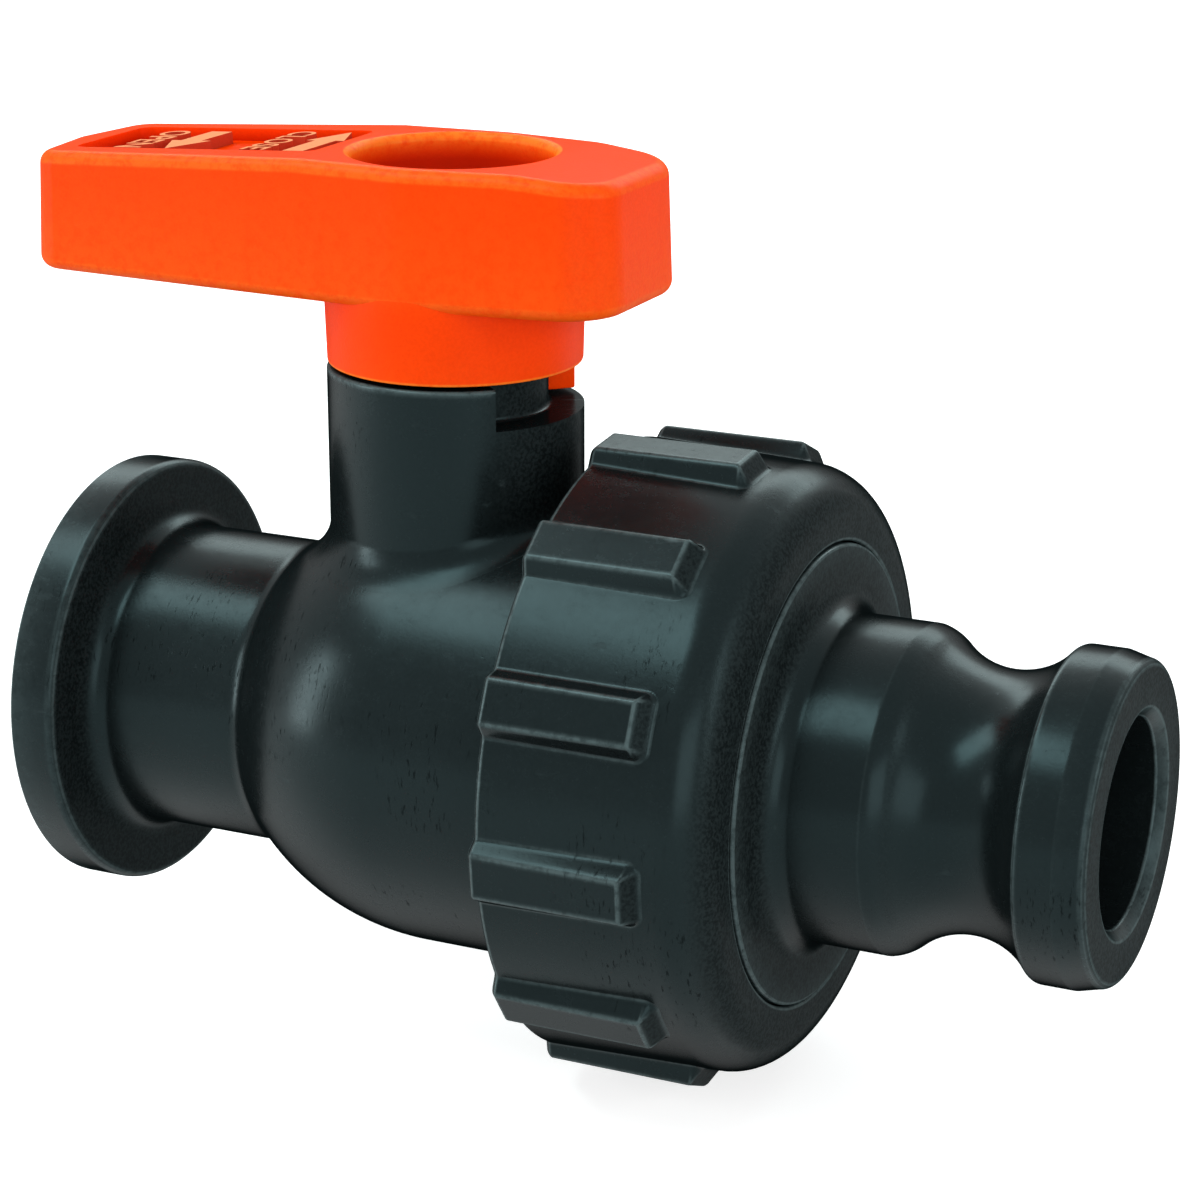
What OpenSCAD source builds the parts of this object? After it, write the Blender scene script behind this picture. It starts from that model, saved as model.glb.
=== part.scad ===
// Quarter-turn ball valve with a manifold flange and a male cam adapter on a union nut.
// The origin is the centre of the manifold flange's face, +X runs along the flow path
// to the cam adapter and +Z points up the stem to the handle.

/* [Flow path] */
// Radius of the port through the body
port_r = 12.7; // [11:0.1:13.5]
// Radius of the cam adapter's bore
adapter_bore_r = 11.4; // [9:0.1:12]
// Radius of the ball
ball_r = 19; // [18:0.1:21]
// Distance from the flange face to the centre of the ball and stem
ball_x = 44.5; // [42:0.5:60]

/* [Manifold flange] */
// Radius of the manifold flange
flange_r = 25.2; // [23:0.1:30]
// Thickness of the manifold flange
flange_t = 5.5; // [4:0.05:8]
// Rounding of the flange's rear edge
flange_edge = 1; // [0.3:0.1:1.5]
// Fillet from the flange's rear face to the tube
flange_fillet = 2.8; // [1:0.1:4]
// Wall of the tube behind the flange
tube_wall = 5.05; // [4:0.05:6]

/* [Ball housing] */
// Gap between the ball and the cavity round it
ball_gap = 0.6; // [0.4:0.1:1]
// Radius of the domed shoulder's arc
dome_r = 30.5; // [29:0.5:34]
// Distance from the ball's centre to the end of the dome
dome_offset = 1.5; // [0:0.5:4]
// Fillet from the tube to the dome
dome_fillet = 2.5; // [1:0.1:4]
// Wall of the barrel round the seat carrier
barrel_wall = 3.3; // [3:0.1:6]

/* [Seats] */
// Width of the seat's bore beyond the port
seat_relief = 0.2; // [0:0.05:0.5]
// Width of the seat's curved land
seat_land = 2.2; // [1.5:0.1:2.6]
// Width of the seat's flat front ring
seat_rim = 1.9; // [1.2:0.1:2.2]
// Thickness of each seat
seat_t = 4.8; // [4:0.1:6]
// Gap between a seat and the ball
seat_gap = 0.05; // [0.02:0.01:0.1]
// Cord radius of the cushion ring behind each seat
cushion_cord_r = 0.79; // [0.6:0.01:0.9]

/* [Seat carrier] */
// Step from the ball cavity out to the carrier
carrier_step = 2.8; // [2.4:0.1:4]
// Length of the carrier
carrier_len = 21.4; // [18:0.1:26]
// Depth of the carrier below the body's end face
carrier_recess = 1.5; // [0.5:0.1:3]
// Cord radius of the carrier's seal
carrier_cord_r = 0.89; // [0.6:0.01:1]
// Number of spanner notches
notch_count = 4; // [2:1:6]
// Width of a spanner notch
notch_w = 4; // [3:0.5:6]
// Depth of a spanner notch
notch_depth = 3; // [2:0.5:5]

/* [Stem boss] */
// Radius of the boss
boss_r = 14.3; // [13:0.1:15]
// Height of the boss above the barrel
boss_h = 15.9; // [13:0.1:20]
// Fillet round the foot of the boss
boss_fillet = 2.5; // [1.5:0.1:4]
// Radius of the collar left inside the stop notch
collar_r = 10.3; // [9.2:0.1:11]
// Depth of the stop notch
stop_depth = 4.6; // [3:0.1:7]
// Angle of the stop notch's end that holds the valve open
stop_open_angle = 70; // [60:1:80]
// Turn of the handle from open to closed
quarter_turn = 90; // [60:5:90]

/* [Stem] */
// Radius of the stem
stem_r = 6.4; // [5.6:0.1:7]
// Running gap between the stem and its bore
stem_fit = 0.05; // [0.02:0.01:0.1]
// Radius of the stem's shoulder
shoulder_r = 8.5; // [7.8:0.1:9]
// Thickness of the stem's shoulder
shoulder_t = 2.8; // [2:0.1:4]
// Thickness of the thrust washer
thrust_t = 1; // [0.6:0.1:1.5]
// Width of the blade that turns the ball
blade_w = 5.6; // [4:0.1:7]
// Depth of the blade below the ball's top
blade_depth = 3.8; // [2.5:0.1:4.2]
// Gap between the blade and its slot
blade_gap = 0.15; // [0.05:0.05:0.4]
// Cord radius of the stem seals
stem_cord_r = 0.78; // [0.6:0.01:0.9]
// Height from the thrust washer to the lower seal
seal_rise = 4; // [3:0.1:5]
// Distance between the two seals
seal_pitch = 4.6; // [3.5:0.1:5]

/* [Handle] */
// Gap between the boss and the handle's hub
hub_gap = 0.5; // [0.4:0.1:1.5]
// Radius of the hub at the lever
hub_r = 14.4; // [13.5:0.1:15.5]
// Height of the hub below the lever
hub_h = 7.9; // [6:0.1:14]
// Draft of the hub's radius down to its lower end
hub_draft = 0.2; // [0:0.1:0.5]
// Thickness of the lever at the hub
lever_t = 15.3; // [13:0.1:20]
// Length of the lever from the stem axis to its tip
lever_len = 49.6; // [45:0.1:80]
// Half width of the lever at its tip
lever_tip_w = 11.8; // [9:0.1:13]
// Corner radius at the lever's tip
lever_corner = 4; // [3:0.1:6]
// Bulge of the lever's tip
lever_bulge = 1.3; // [0.5:0.1:3]
// Drop of the lever's top from the hub to the tip
lever_drop = 2; // [0:0.1:3]
// Length of the tail from the stem axis
tail_len = 23.3; // [21:0.1:28]
// Half width of the tail's end
tail_w = 12.1; // [10:0.1:13]
// Drop of the tail's top from the hub to its end
tail_drop = 0.8; // [0:0.1:2]
// Corner radius of the tail
tail_corner = 7; // [4:0.1:8]
// Rounding of the handle's edges
handle_edge = 1.5; // [0.8:0.1:2]
// Draft of the handle's sides from the bottom to the top
handle_draft = 0.4; // [0:0.05:0.6]
// Radius of the screw well
well_r = 11.2; // [8:0.1:11.5]
// Rounding of the well's rim
well_edge = 1; // [0.5:0.1:1.5]
// Thickness of the web under the well
web_t = 4; // [3:0.1:6]
// Depth of the square socket in the hub
socket_depth = 8.1; // [6:0.1:10]
// Depth of the sign recess in the lever
sign_depth = 1; // [0.6:0.1:1.5]
// Length of the sign recess
sign_len = 31; // [20:0.5:31]
// Half width of the sign recess
sign_w = 7.4; // [5:0.1:8]
// Distance from the stem axis to the sign recess
sign_start = 13.5; // [13:0.1:16]
// Corner radius of the sign recess
sign_corner = 1.5; // [0.5:0.1:3]
// Number of hollow cells under the lever
cell_count = 3; // [1:1:4]
// Wall left round the cells
cell_wall = 3; // [2:0.1:4]
// Thickness of the ribs between the cells
cell_rib = 1.8; // [1.2:0.1:3]
// Thickness of the lever over the cells
cell_roof = 2.4; // [1.5:0.1:5]
// Corner radius of the cells
cell_corner = 2.5; // [0.5:0.1:3]
// Angle across the stop lug
lug_angle = 25; // [15:1:30]
// Gap between the stop lug and the collar
lug_gap = 0.3; // [0.2:0.05:0.5]

/* [Handle screw] */
// Radius of the screw's shank
screw_r = 2.4; // [1.8:0.1:2.6]
// Length of the screw under its head
screw_len = 14; // [10:0.5:16]
// Radius of the screw's head
screw_head_r = 4.6; // [3.8:0.1:5.5]
// Height of the screw's head
screw_head_h = 3; // [2:0.1:4]
// Rounding of the screw's head
screw_dome = 1.6; // [0.5:0.1:2]
// Size across the flats of the screw's socket
screw_key = 4; // [2.5:0.1:4]
// Depth of the screw's socket
screw_key_depth = 2; // [1:0.1:2.5]
// Radius of the threaded insert in the stem
insert_r = 3.4; // [3:0.1:3.6]
// Length of the threaded insert
insert_len = 12; // [9:0.5:14]
// Radius of the flat washer
washer_r = 6; // [5.2:0.1:8]
// Thickness of the flat washer
washer_t = 1; // [0.6:0.1:1.5]
// Radius of the lock washer
lock_r = 4.4; // [3.8:0.1:5]
// Thickness of the lock washer
lock_t = 1.2; // [0.8:0.1:1.6]
// Width of the lock washer's split
split_w = 0.4; // [0.2:0.1:1]
// Slant of the lock washer's split
split_angle = 30; // [0:5:45]

/* [Union nut] */
// Height of the body's thread above the barrel
thread_step = 4.6; // [4:0.1:6]
// Gap between the body's thread and the nut
thread_gap = 0.25; // [0.2:0.05:0.4]
// Length of the nut over the body
nut_overlap = 14.2; // [10:0.1:15]
// Wall of the nut at its rear end
nut_wall = 3.8; // [3:0.1:6]
// Taper of the nut's radius from its rear end to its shoulder
nut_taper = 0.7; // [0.2:0.1:1.5]
// Radius of the nut's front shoulder
nut_round = 5.6; // [3:0.1:6.5]
// Thickness of the nut's lip
lip_t = 5.1; // [4:0.1:8]
// Gap between the nut and the adapter
nut_gap = 0.2; // [0.15:0.05:0.5]
// Number of grip ribs
rib_count = 12; // [8:1:12]
// Angle of the first grip rib from the top
rib_phase = 5.2; // [0:0.1:30]
// Height of a grip rib over the nut's rear end
rib_h = 1.45; // [0.8:0.05:3]
// Width of a grip rib at its top
rib_top_w = 4.8; // [3:0.1:7]
// Width by which each rib's flank slopes out
rib_flank = 1.2; // [0.3:0.1:1.5]
// Length of a grip rib
rib_len = 19.4; // [10:0.1:20]
// Length of the slope at a grip rib's front end
rib_slope = 2; // [0.5:0.1:4]

/* [Cam adapter] */
// Gap between the body's end face and the adapter
union_gap = 0.15; // [0.1:0.05:0.3]
// Thickness of the adapter's flange inside the nut
union_flange_t = 5.75; // [4:0.05:8]
// Radius of the adapter's collar in the nut's opening
collar_plate_r = 25.5; // [24:0.1:27]
// Length of the adapter's collar
collar_plate_len = 5.5; // [5:0.1:9]
// Radius of the adapter's spigot
spigot_r = 18.2; // [16:0.1:19]
// Fillet from the collar to the spigot
spigot_fillet = 3; // [1:0.1:4]
// Rounding of the spigot's shoulder at the cam groove
spigot_round = 5; // [2:0.1:6]
// Angle of the crease where that rounding starts
spigot_crease = 6; // [0:1:10]
// Length from the collar's face to the centre of the cam groove
groove_offset = 19.7; // [18:0.1:26]
// Radius of the cam groove's arc
groove_arc_r = 9.8; // [9:0.1:10.5]
// Least radius left in the cam groove
groove_min_r = 14.43; // [13.8:0.01:15.5]
// Radius of the cam head
head_r = 18.27; // [17.5:0.01:19]
// Length of the cam head's full diameter
head_len = 3.7; // [3:0.1:6]
// Rounding of the cam head's rear edge
head_back_edge = 1; // [0.4:0.1:1.4]
// Length of the cam head's lead-in taper
lead_len = 2.3; // [1:0.1:4]
// Drop of the lead-in taper
lead_drop = 0.6; // [0.2:0.1:1]
// Rounding of the cam head's end
head_edge = 1; // [0.4:0.1:1.4]
// Width of the chamfer at the adapter's mouth
mouth_chamfer = 1.1; // [0.4:0.1:2]
// Length of the taper from the port to the adapter's bore
adapter_taper = 10; // [5:0.5:20]
// Cord radius of the union's face seal
face_cord_r = 1; // [0.7:0.05:1.2]

/* [Hidden] */
$fn = 96;

black = [0.16, 0.18, 0.18];
orange = [1, 0.31, 0.04];
ptfe = [0.93, 0.93, 0.9];
rubber = [0.07, 0.07, 0.07];
brass = [0.8, 0.66, 0.36];
steel = [0.72, 0.73, 0.74];

// Fits: close, round a seal ring, and loose round pieces that don't bear on each other
fit = 0.1;
ring_fit = 0.02;
loose = 0.4;
// Overshoot of every cut, and the steps of an arc
cut = 1;
arc_steps = 8;
// Chamfers: where the nut's and collar's faces meet, plain edges, lead-ins and threads
face_break = 0.2;
edge_break = 0.5;
lead_chamfer = 0.8;
thread_chamfer = 1;

tube_r = port_r + tube_wall;
cavity_r = ball_r + ball_gap;
carrier_r = cavity_r + carrier_step;
carrier_bore_r = carrier_r + fit;
barrel_r = carrier_bore_r + barrel_wall;

// Dome: its arc is tangent to the barrel
dome_x = ball_x + dome_offset;
dome_mid_r = barrel_r - dome_r;

// Seats: the curved land runs from the seat's bore out to the contact radius
seat_bore_r = port_r + seat_relief;
seat_contact_r = seat_bore_r + seat_land;
seat_r = seat_contact_r + seat_rim;
seat_sphere_r = ball_r + seat_gap;
seat_front = sqrt(pow(seat_sphere_r, 2) - pow(seat_contact_r, 2));
seat_back = seat_front + seat_t;
pocket_r = seat_r + fit;
cushion_r = (seat_bore_r + seat_r) / 2;
cushion_depth = 2 * cushion_cord_r + ring_fit;
cushion_half_w = cushion_cord_r + loose / 2;

// Stations along the flow path: the carrier wraps its seat, the body's pocket the other one
seat_wrap = 1;
cavity_x = ball_x - seat_front + loose;
carrier_x = ball_x + seat_front - seat_wrap;
step_x = carrier_x - fit;
carrier_end_x = carrier_x + carrier_len;
body_end_x = carrier_end_x + carrier_recess;
nut_x = body_end_x - nut_overlap;
thread_x = nut_x + lead_chamfer;
flange_in_x = body_end_x + union_gap;
flange_out_x = flange_in_x + union_flange_t;
lip_x = flange_out_x + fit;
nut_end_x = lip_x + lip_t;
collar_x = flange_out_x + collar_plate_len;
groove_x = collar_x + groove_offset;

// Union
thread_r = barrel_r + thread_step;
nut_bore_r = thread_r + thread_gap;
nut_r = nut_bore_r + nut_wall;
nut_shoulder_r = nut_r - nut_taper;
nut_open_r = collar_plate_r + nut_gap;
union_flange_r = thread_r - loose;
rib_r = nut_r + rib_h;
rib_base_r = nut_bore_r + nut_wall / 2;
rib_front_x = nut_x + rib_len;
face_seal_r = (carrier_bore_r + thread_r - edge_break) / 2;
face_seal_proud = union_gap / 3;
face_groove_depth = 2 * face_cord_r - face_seal_proud;
carrier_seal_land = 2.5;
carrier_seal_x = carrier_x + carrier_seal_land + carrier_cord_r;
carrier_seal_depth = 2 * carrier_cord_r + ring_fit - fit;

// Stem boss and stem
boss_top_z = barrel_r + boss_h;
stop_floor_z = boss_top_z - stop_depth;
stem_bore_r = stem_r + stem_fit;
ball_clearance = 0.3;
shoulder_z = ball_r + ball_clearance;
thrust_z = shoulder_z + shoulder_t;
stem_pocket_z = thrust_z + thrust_t + fit;
stem_pocket_r = shoulder_r + loose;
blade_z = ball_r - blade_depth;
hub_z = boss_top_z + hub_gap;
stem_square = stem_r * sqrt(2) - stem_fit;
stem_top_z = hub_z + socket_depth - fit;
seal_z = stem_pocket_z + seal_rise;
seal_mid_r = stem_bore_r - stem_cord_r - ring_fit;
seal_groove_r = seal_mid_r - stem_cord_r - ring_fit;

// Handle
lever_z = hub_z + hub_h;
handle_top_z = lever_z + lever_t;
well_z = hub_z + socket_depth + web_t;
top_inset = handle_draft + handle_edge;
lever_hinge = hub_r - top_inset;
lever_tilt = atan(lever_drop / (lever_len - hub_r));
foot_r = hub_r - hub_draft;
cell_start_x = ball_x - lever_len + cell_wall;
cell_end_x = ball_x - hub_r - cell_rib;
cell_top_z = handle_top_z - lever_drop - sign_depth - cell_roof;

// Stop lug: it swings in the boss's notch with a little play, in degrees
lug_play = 0.4;
stop_close_angle = stop_open_angle - quarter_turn - lug_angle;
lug_top_angle = stop_open_angle - lug_play;
lug_low_angle = stop_open_angle - lug_angle + lug_play;
lug_in_r = collar_r + lug_gap;
lug_out_r = min(boss_r, foot_r) - fit;
lug_z = stop_floor_z + loose;

// Stack on the handle's screw
lock_z = well_z + washer_t;
head_z = lock_z + lock_t;
insert_z = stem_top_z - insert_len;

// Points of an arc about (x, r), as [r, x] pairs, from angle a0 to a1 measured from +X
function arc(x, r, rad, a0, a1) =
    [for (i = [0 : arc_steps]) let (a = a0 + (a1 - a0) * i / arc_steps)
        [r + rad * sin(a), x + rad * cos(a)]];

// Solid turned about the flow path from [r, x] points
module turned_x(points) {
    rotate([0, 90, 0])
        rotate_extrude()
            polygon(points);
}

// Solid turned about the stem axis from [r, z] points
module turned_z(points) {
    translate([ball_x, 0, 0])
        rotate_extrude()
            polygon(points);
}

// Round bar along the flow path
module bar_x(r, x0, x1) {
    translate([x0, 0, 0])
        rotate([0, 90, 0])
            cylinder(r = r, h = x1 - x0);
}

// Seal ring round the flow path
module ring_x(mid_r, cord_r, x) {
    translate([x, 0, 0])
        rotate([0, 90, 0])
            rotate_extrude()
                translate([mid_r, 0])
                    circle(r = cord_r, $fn = 32);
}

// Seal ring round the stem axis
module ring_z(mid_r, cord_r, z) {
    translate([ball_x, 0, z])
        rotate_extrude()
            translate([mid_r, 0])
                circle(r = cord_r, $fn = 32);
}

// Wedge about the stem axis between two angles
module wedge(a0, a1, reach, z0, z1) {
    translate([ball_x, 0, z0])
        linear_extrude(height = z1 - z0)
            polygon(concat([[0, 0]],
                [for (i = [0 : 4]) let (a = a0 + (a1 - a0) * i / 4)
                    reach * [cos(a), sin(a)]]));
}

// Body of the valve: flange, tube, dome, barrel and thread land, with its stem boss
module valve_body() {
    color(black)
        difference() {
            union() {
                body_outside();
                stem_boss();
            }
            body_inside();
            stem_boss_cuts();
        }
}

// Outside of the body, turned as one piece
module body_outside() {
    fillet_r = tube_r + dome_fillet;
    fillet_x = dome_x - sqrt(pow(dome_r + dome_fillet, 2) - pow(fillet_r - dome_mid_r, 2));
    meet = atan2(fillet_r - dome_mid_r, dome_x - fillet_x);
    turned_x(concat(
        [[0, 0], [flange_r, 0]],
        arc(flange_t - flange_edge, flange_r - flange_edge, flange_edge, 90, 0),
        arc(flange_t + flange_fillet, tube_r + flange_fillet, flange_fillet, 180, 270),
        arc(fillet_x, fillet_r, dome_fillet, 270, 360 - meet),
        arc(dome_x, dome_mid_r, dome_r, 180 - meet, 90),
        [[barrel_r, thread_x], [thread_r - thread_chamfer, thread_x],
            [thread_r, thread_x + thread_chamfer], [thread_r, body_end_x - thread_chamfer],
            [thread_r - thread_chamfer, body_end_x], [0, body_end_x]]));
}

// Boss round the stem, with a fillet that follows the barrel
module stem_boss() {
    translate([ball_x, 0, 0])
        cylinder(r = boss_r, h = boss_top_z);
    for (i = [0 : 3])
        hull() {
            boss_plug(i / 4);
            boss_plug((i + 1) / 4);
        }
}

// One step of the boss's fillet: a plug capped by a thicker housing
module boss_plug(t) {
    spread = boss_fillet * (1 - cos(90 * t));
    rise = boss_fillet * (1 - sin(90 * t));
    intersection() {
        translate([ball_x, 0, barrel_r / 2])
            cylinder(r = boss_r + spread, h = barrel_r, $fn = 64);
        housing_cap(rise);
    }
}

// Dome and barrel, thicker all over by one rise
module housing_cap(rise) {
    foot = asin(-dome_mid_r / (dome_r + rise));
    turned_x(concat(
        arc(dome_x, dome_mid_r, dome_r + rise, 180 - foot, 90),
        [[barrel_r + rise, ball_x + 2 * boss_r], [0, ball_x + 2 * boss_r]]));
}

// Flow path, seat pocket, ball cavity and carrier bore
module body_inside() {
    turned_x([[0, -cut], [port_r, -cut], [port_r, ball_x - seat_back],
        [pocket_r, ball_x - seat_back], [pocket_r, cavity_x], [cavity_r, cavity_x],
        [cavity_r, step_x], [carrier_bore_r, step_x], [carrier_bore_r, body_end_x + cut],
        [0, body_end_x + cut]]);
    difference() {
        bar_x(cushion_r + cushion_half_w, ball_x - seat_back - cushion_depth, ball_x - seat_back);
        bar_x(cushion_r - cushion_half_w, 0, ball_x);
    }
    difference() {
        bar_x(face_seal_r + face_cord_r + fit, body_end_x - face_groove_depth, body_end_x + cut);
        bar_x(face_seal_r - face_cord_r - fit, ball_x, body_end_x + 2 * cut);
    }
}

// Stem bore, shoulder pocket and the notch that stops the handle
module stem_boss_cuts() {
    turned_z([[0, 0], [stem_pocket_r, 0], [stem_pocket_r, stem_pocket_z],
        [stem_bore_r, stem_pocket_z], [stem_bore_r, boss_top_z - edge_break],
        [stem_bore_r + edge_break, boss_top_z], [stem_bore_r + edge_break, boss_top_z + cut],
        [0, boss_top_z + cut]]);
    difference() {
        wedge(stop_close_angle, stop_open_angle, 2 * boss_r, stop_floor_z, boss_top_z + cut);
        translate([ball_x, 0, 0])
            cylinder(r = collar_r, h = boss_top_z + 2 * cut);
    }
}

// One seat, as [r, x] points measured from the ball's centre
function seat_points() =
    let (a0 = asin(seat_contact_r / seat_sphere_r), a1 = asin(seat_bore_r / seat_sphere_r))
    concat([[seat_bore_r, seat_back], [seat_r, seat_back], [seat_r, seat_front]],
        arc(0, 0, seat_sphere_r, a0, a1));

module seat_outlet() {
    color(ptfe)
        translate([ball_x, 0, 0])
            turned_x(seat_points());
}

module seat_inlet() {
    color(ptfe)
        translate([ball_x, 0, 0])
            mirror([1, 0, 0])
                turned_x(seat_points());
}

module seat_oring_inlet() {
    color(rubber)
        ring_x(cushion_r, cushion_cord_r, ball_x - seat_back - cushion_depth + cushion_cord_r);
}

module seat_oring_outlet() {
    color(rubber)
        ring_x(cushion_r, cushion_cord_r, ball_x + seat_back + cushion_depth - cushion_cord_r);
}

// Ball with its port and the slot that takes the stem's blade
module ball() {
    color(black)
        translate([ball_x, 0, 0])
            difference() {
                sphere(r = ball_r);
                translate([-2 * ball_r, 0, 0])
                    rotate([0, 90, 0])
                        cylinder(r = port_r, h = 4 * ball_r);
                intersection() {
                    translate([0, 0, blade_z - fit])
                        cylinder(r = shoulder_r, h = ball_r);
                    translate([-blade_w / 2 - blade_gap, -ball_r, 0])
                        cube([blade_w + 2 * blade_gap, 2 * ball_r, 2 * ball_r]);
                }
            }
}

// Screwed ring that carries the outlet seat
module seat_carrier() {
    seat_x = ball_x + seat_back;
    color(black)
        difference() {
            turned_x([[seat_bore_r, seat_x], [pocket_r, seat_x], [pocket_r, carrier_x],
                [carrier_r, carrier_x], [carrier_r, carrier_end_x - lead_chamfer],
                [carrier_r - lead_chamfer, carrier_end_x], [seat_bore_r, carrier_end_x]]);
            difference() {
                bar_x(cushion_r + cushion_half_w, seat_x, seat_x + cushion_depth);
                bar_x(cushion_r - cushion_half_w, ball_x, carrier_end_x);
            }
            difference() {
                bar_x(carrier_r + cut, carrier_seal_x - carrier_cord_r - fit,
                    carrier_seal_x + carrier_cord_r + fit);
                bar_x(carrier_r - carrier_seal_depth, ball_x, carrier_end_x);
            }
            for (i = [0 : notch_count - 1])
                rotate([360 * i / notch_count, 0, 0])
                    translate([carrier_end_x - notch_depth, -notch_w / 2, (seat_bore_r + carrier_r) / 2])
                        cube([notch_depth + cut, notch_w, carrier_r]);
        }
}

module carrier_oring() {
    color(rubber)
        ring_x(carrier_bore_r - ring_fit / 2 - carrier_cord_r, carrier_cord_r, carrier_seal_x);
}

module face_oring() {
    color(rubber)
        ring_x(face_seal_r, face_cord_r, body_end_x - face_groove_depth + face_cord_r);
}

// Stem: blade, shoulder, two seal grooves and the square that drives the handle
module stem() {
    color(black)
        difference() {
            union() {
                turned_z([[0, shoulder_z], [shoulder_r, shoulder_z], [shoulder_r, thrust_z],
                    [stem_r, thrust_z], [stem_r, hub_z], [0, hub_z]]);
                stem_blade();
                translate([ball_x - stem_square / 2, -stem_square / 2, hub_z - fit])
                    cube([stem_square, stem_square, stem_top_z - hub_z + fit]);
            }
            seal_groove(seal_z);
            seal_groove(seal_z + seal_pitch);
            translate([ball_x, 0, insert_z])
                cylinder(r = insert_r, h = insert_len + cut);
            translate([ball_x, 0, head_z - screw_len - cut])
                cylinder(r = screw_r + fit, h = screw_len);
        }
}

// Blade under the stem's shoulder, across the flow path while the valve is open
module stem_blade() {
    intersection() {
        translate([ball_x, 0, blade_z])
            cylinder(r = shoulder_r - blade_gap, h = shoulder_z - blade_z + fit);
        translate([ball_x - blade_w / 2, -shoulder_r, blade_z])
            cube([blade_w, 2 * shoulder_r, shoulder_t + blade_depth]);
    }
}

module seal_groove(z) {
    difference() {
        translate([ball_x, 0, z - stem_cord_r - fit])
            cylinder(r = stem_r + cut, h = 2 * (stem_cord_r + fit));
        translate([ball_x, 0, z - 2 * cut])
            cylinder(r = seal_groove_r, h = 4 * cut);
    }
}

module stem_thrust_washer() {
    color(ptfe)
        turned_z([[stem_r + fit, thrust_z], [shoulder_r, thrust_z],
            [shoulder_r, thrust_z + thrust_t], [stem_r + fit, thrust_z + thrust_t]]);
}

module stem_oring_lower() {
    color(rubber)
        ring_z(seal_mid_r, stem_cord_r, seal_z);
}

module stem_oring_upper() {
    color(rubber)
        ring_z(seal_mid_r, stem_cord_r, seal_z + seal_pitch);
}

module stem_insert() {
    color(brass)
        turned_z([[screw_r + ring_fit, insert_z], [insert_r, insert_z],
            [insert_r, stem_top_z], [screw_r + ring_fit, stem_top_z]]);
}

// Handle: lever and tail drawn over posts, hub, stop lug, screw well, sign recess and the
// cells that keep the lever's walls thin
module handle() {
    color(orange)
        difference() {
            union() {
                handle_blade();
                handle_hub();
                stop_lug();
            }
            handle_well();
            handle_socket();
            sign_recess();
            for (i = [0 : cell_count - 1])
                lever_cell(i);
        }
}

// Lever and tail: one rounded slab stretched over the hub and the corner posts
module handle_blade() {
    tip_x = ball_x - lever_len + lever_corner;
    end_x = ball_x + tail_len - tail_corner;
    tip_z = handle_top_z - lever_drop;
    end_z = handle_top_z - tail_drop;
    hull() {
        handle_post(ball_x, 0, hub_r, handle_top_z, 64);
        handle_post(tip_x, 0, lever_corner, tip_z, 32);
        for (s = [-1, 1]) {
            handle_post(tip_x + lever_bulge, s * (lever_tip_w - lever_corner), lever_corner,
                tip_z, 32);
            handle_post(end_x, s * (tail_w - tail_corner), tail_corner, end_z, 40);
        }
    }
}

// Post with rounded ends and drafted sides
module handle_post(x, y, r, top_z, facets) {
    e = handle_edge;
    translate([x, y, 0])
        rotate_extrude($fn = facets)
            polygon(concat([[0, lever_z], [r - e, lever_z]],
                [for (a = [30, 60, 90]) [r - e + e * sin(a), lever_z + e - e * cos(a)]],
                [for (a = [0, 30, 60, 90])
                    [r - handle_draft - e + e * cos(a), top_z - e + e * sin(a)]],
                [[0, top_z]]));
}

// Hub below the lever, drafted and rounded at its foot
module handle_hub() {
    e = edge_break;
    turned_z(concat([[0, hub_z]],
        [for (a = [0, 30, 60, 90]) [foot_r - e + e * sin(a), hub_z + e - e * cos(a)]],
        [[hub_r, lever_z], [hub_r, lever_z + 2 * handle_edge],
            [0, lever_z + 2 * handle_edge]]));
}

// Lug that swings in the boss's notch
module stop_lug() {
    intersection() {
        difference() {
            translate([ball_x, 0, lug_z])
                cylinder(r = lug_out_r, h = hub_z - lug_z + edge_break);
            translate([ball_x, 0, lug_z - cut])
                cylinder(r = lug_in_r, h = hub_z);
        }
        wedge(lug_low_angle, lug_top_angle, 2 * boss_r, lug_z - cut, hub_z + cut);
    }
}

// Well over the screw, with a rounded rim
module handle_well() {
    rim_r = well_r + well_edge;
    turned_z(concat([[0, well_z], [well_r, well_z]],
        [for (a = [0, 22.5, 45, 67.5, 90])
            [rim_r - well_edge * cos(a), handle_top_z - well_edge + well_edge * sin(a)]],
        [[rim_r, handle_top_z + cut], [0, handle_top_z + cut]]));
}

// Square socket for the stem and the hole for the screw
module handle_socket() {
    side = stem_square + fit;
    translate([ball_x - side / 2, -side / 2, hub_z - cut])
        cube([side, side, socket_depth + cut]);
    translate([ball_x, 0, hub_z])
        cylinder(r = screw_r + loose, h = well_z - hub_z + cut);
}

// Recess for signs, parallel to the lever's sloping top
module sign_recess() {
    translate([ball_x - lever_hinge, 0, handle_top_z])
        rotate([0, -lever_tilt, 0])
            translate([lever_hinge - sign_start - sign_len, 0, -sign_depth])
                rounded_prism(sign_len, sign_w, sign_w, sign_corner, sign_depth + cut);
}

// Prism from x = 0 to len with rounded corners, and its own half width at each end
module rounded_prism(len, half_w0, half_w1, corner, height) {
    linear_extrude(height = height)
        hull()
            for (s = [-1, 1]) {
                translate([corner, s * (half_w0 - corner)])
                    circle(r = corner, $fn = 24);
                translate([len - corner, s * (half_w1 - corner)])
                    circle(r = corner, $fn = 24);
            }
}

// Half width inside the lever's walls
function cell_half_w(x) =
    let (t = (x - ball_x + lever_len) / lever_len)
    lever_tip_w + t * (hub_r - lever_tip_w) - handle_draft - cell_wall;

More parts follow.
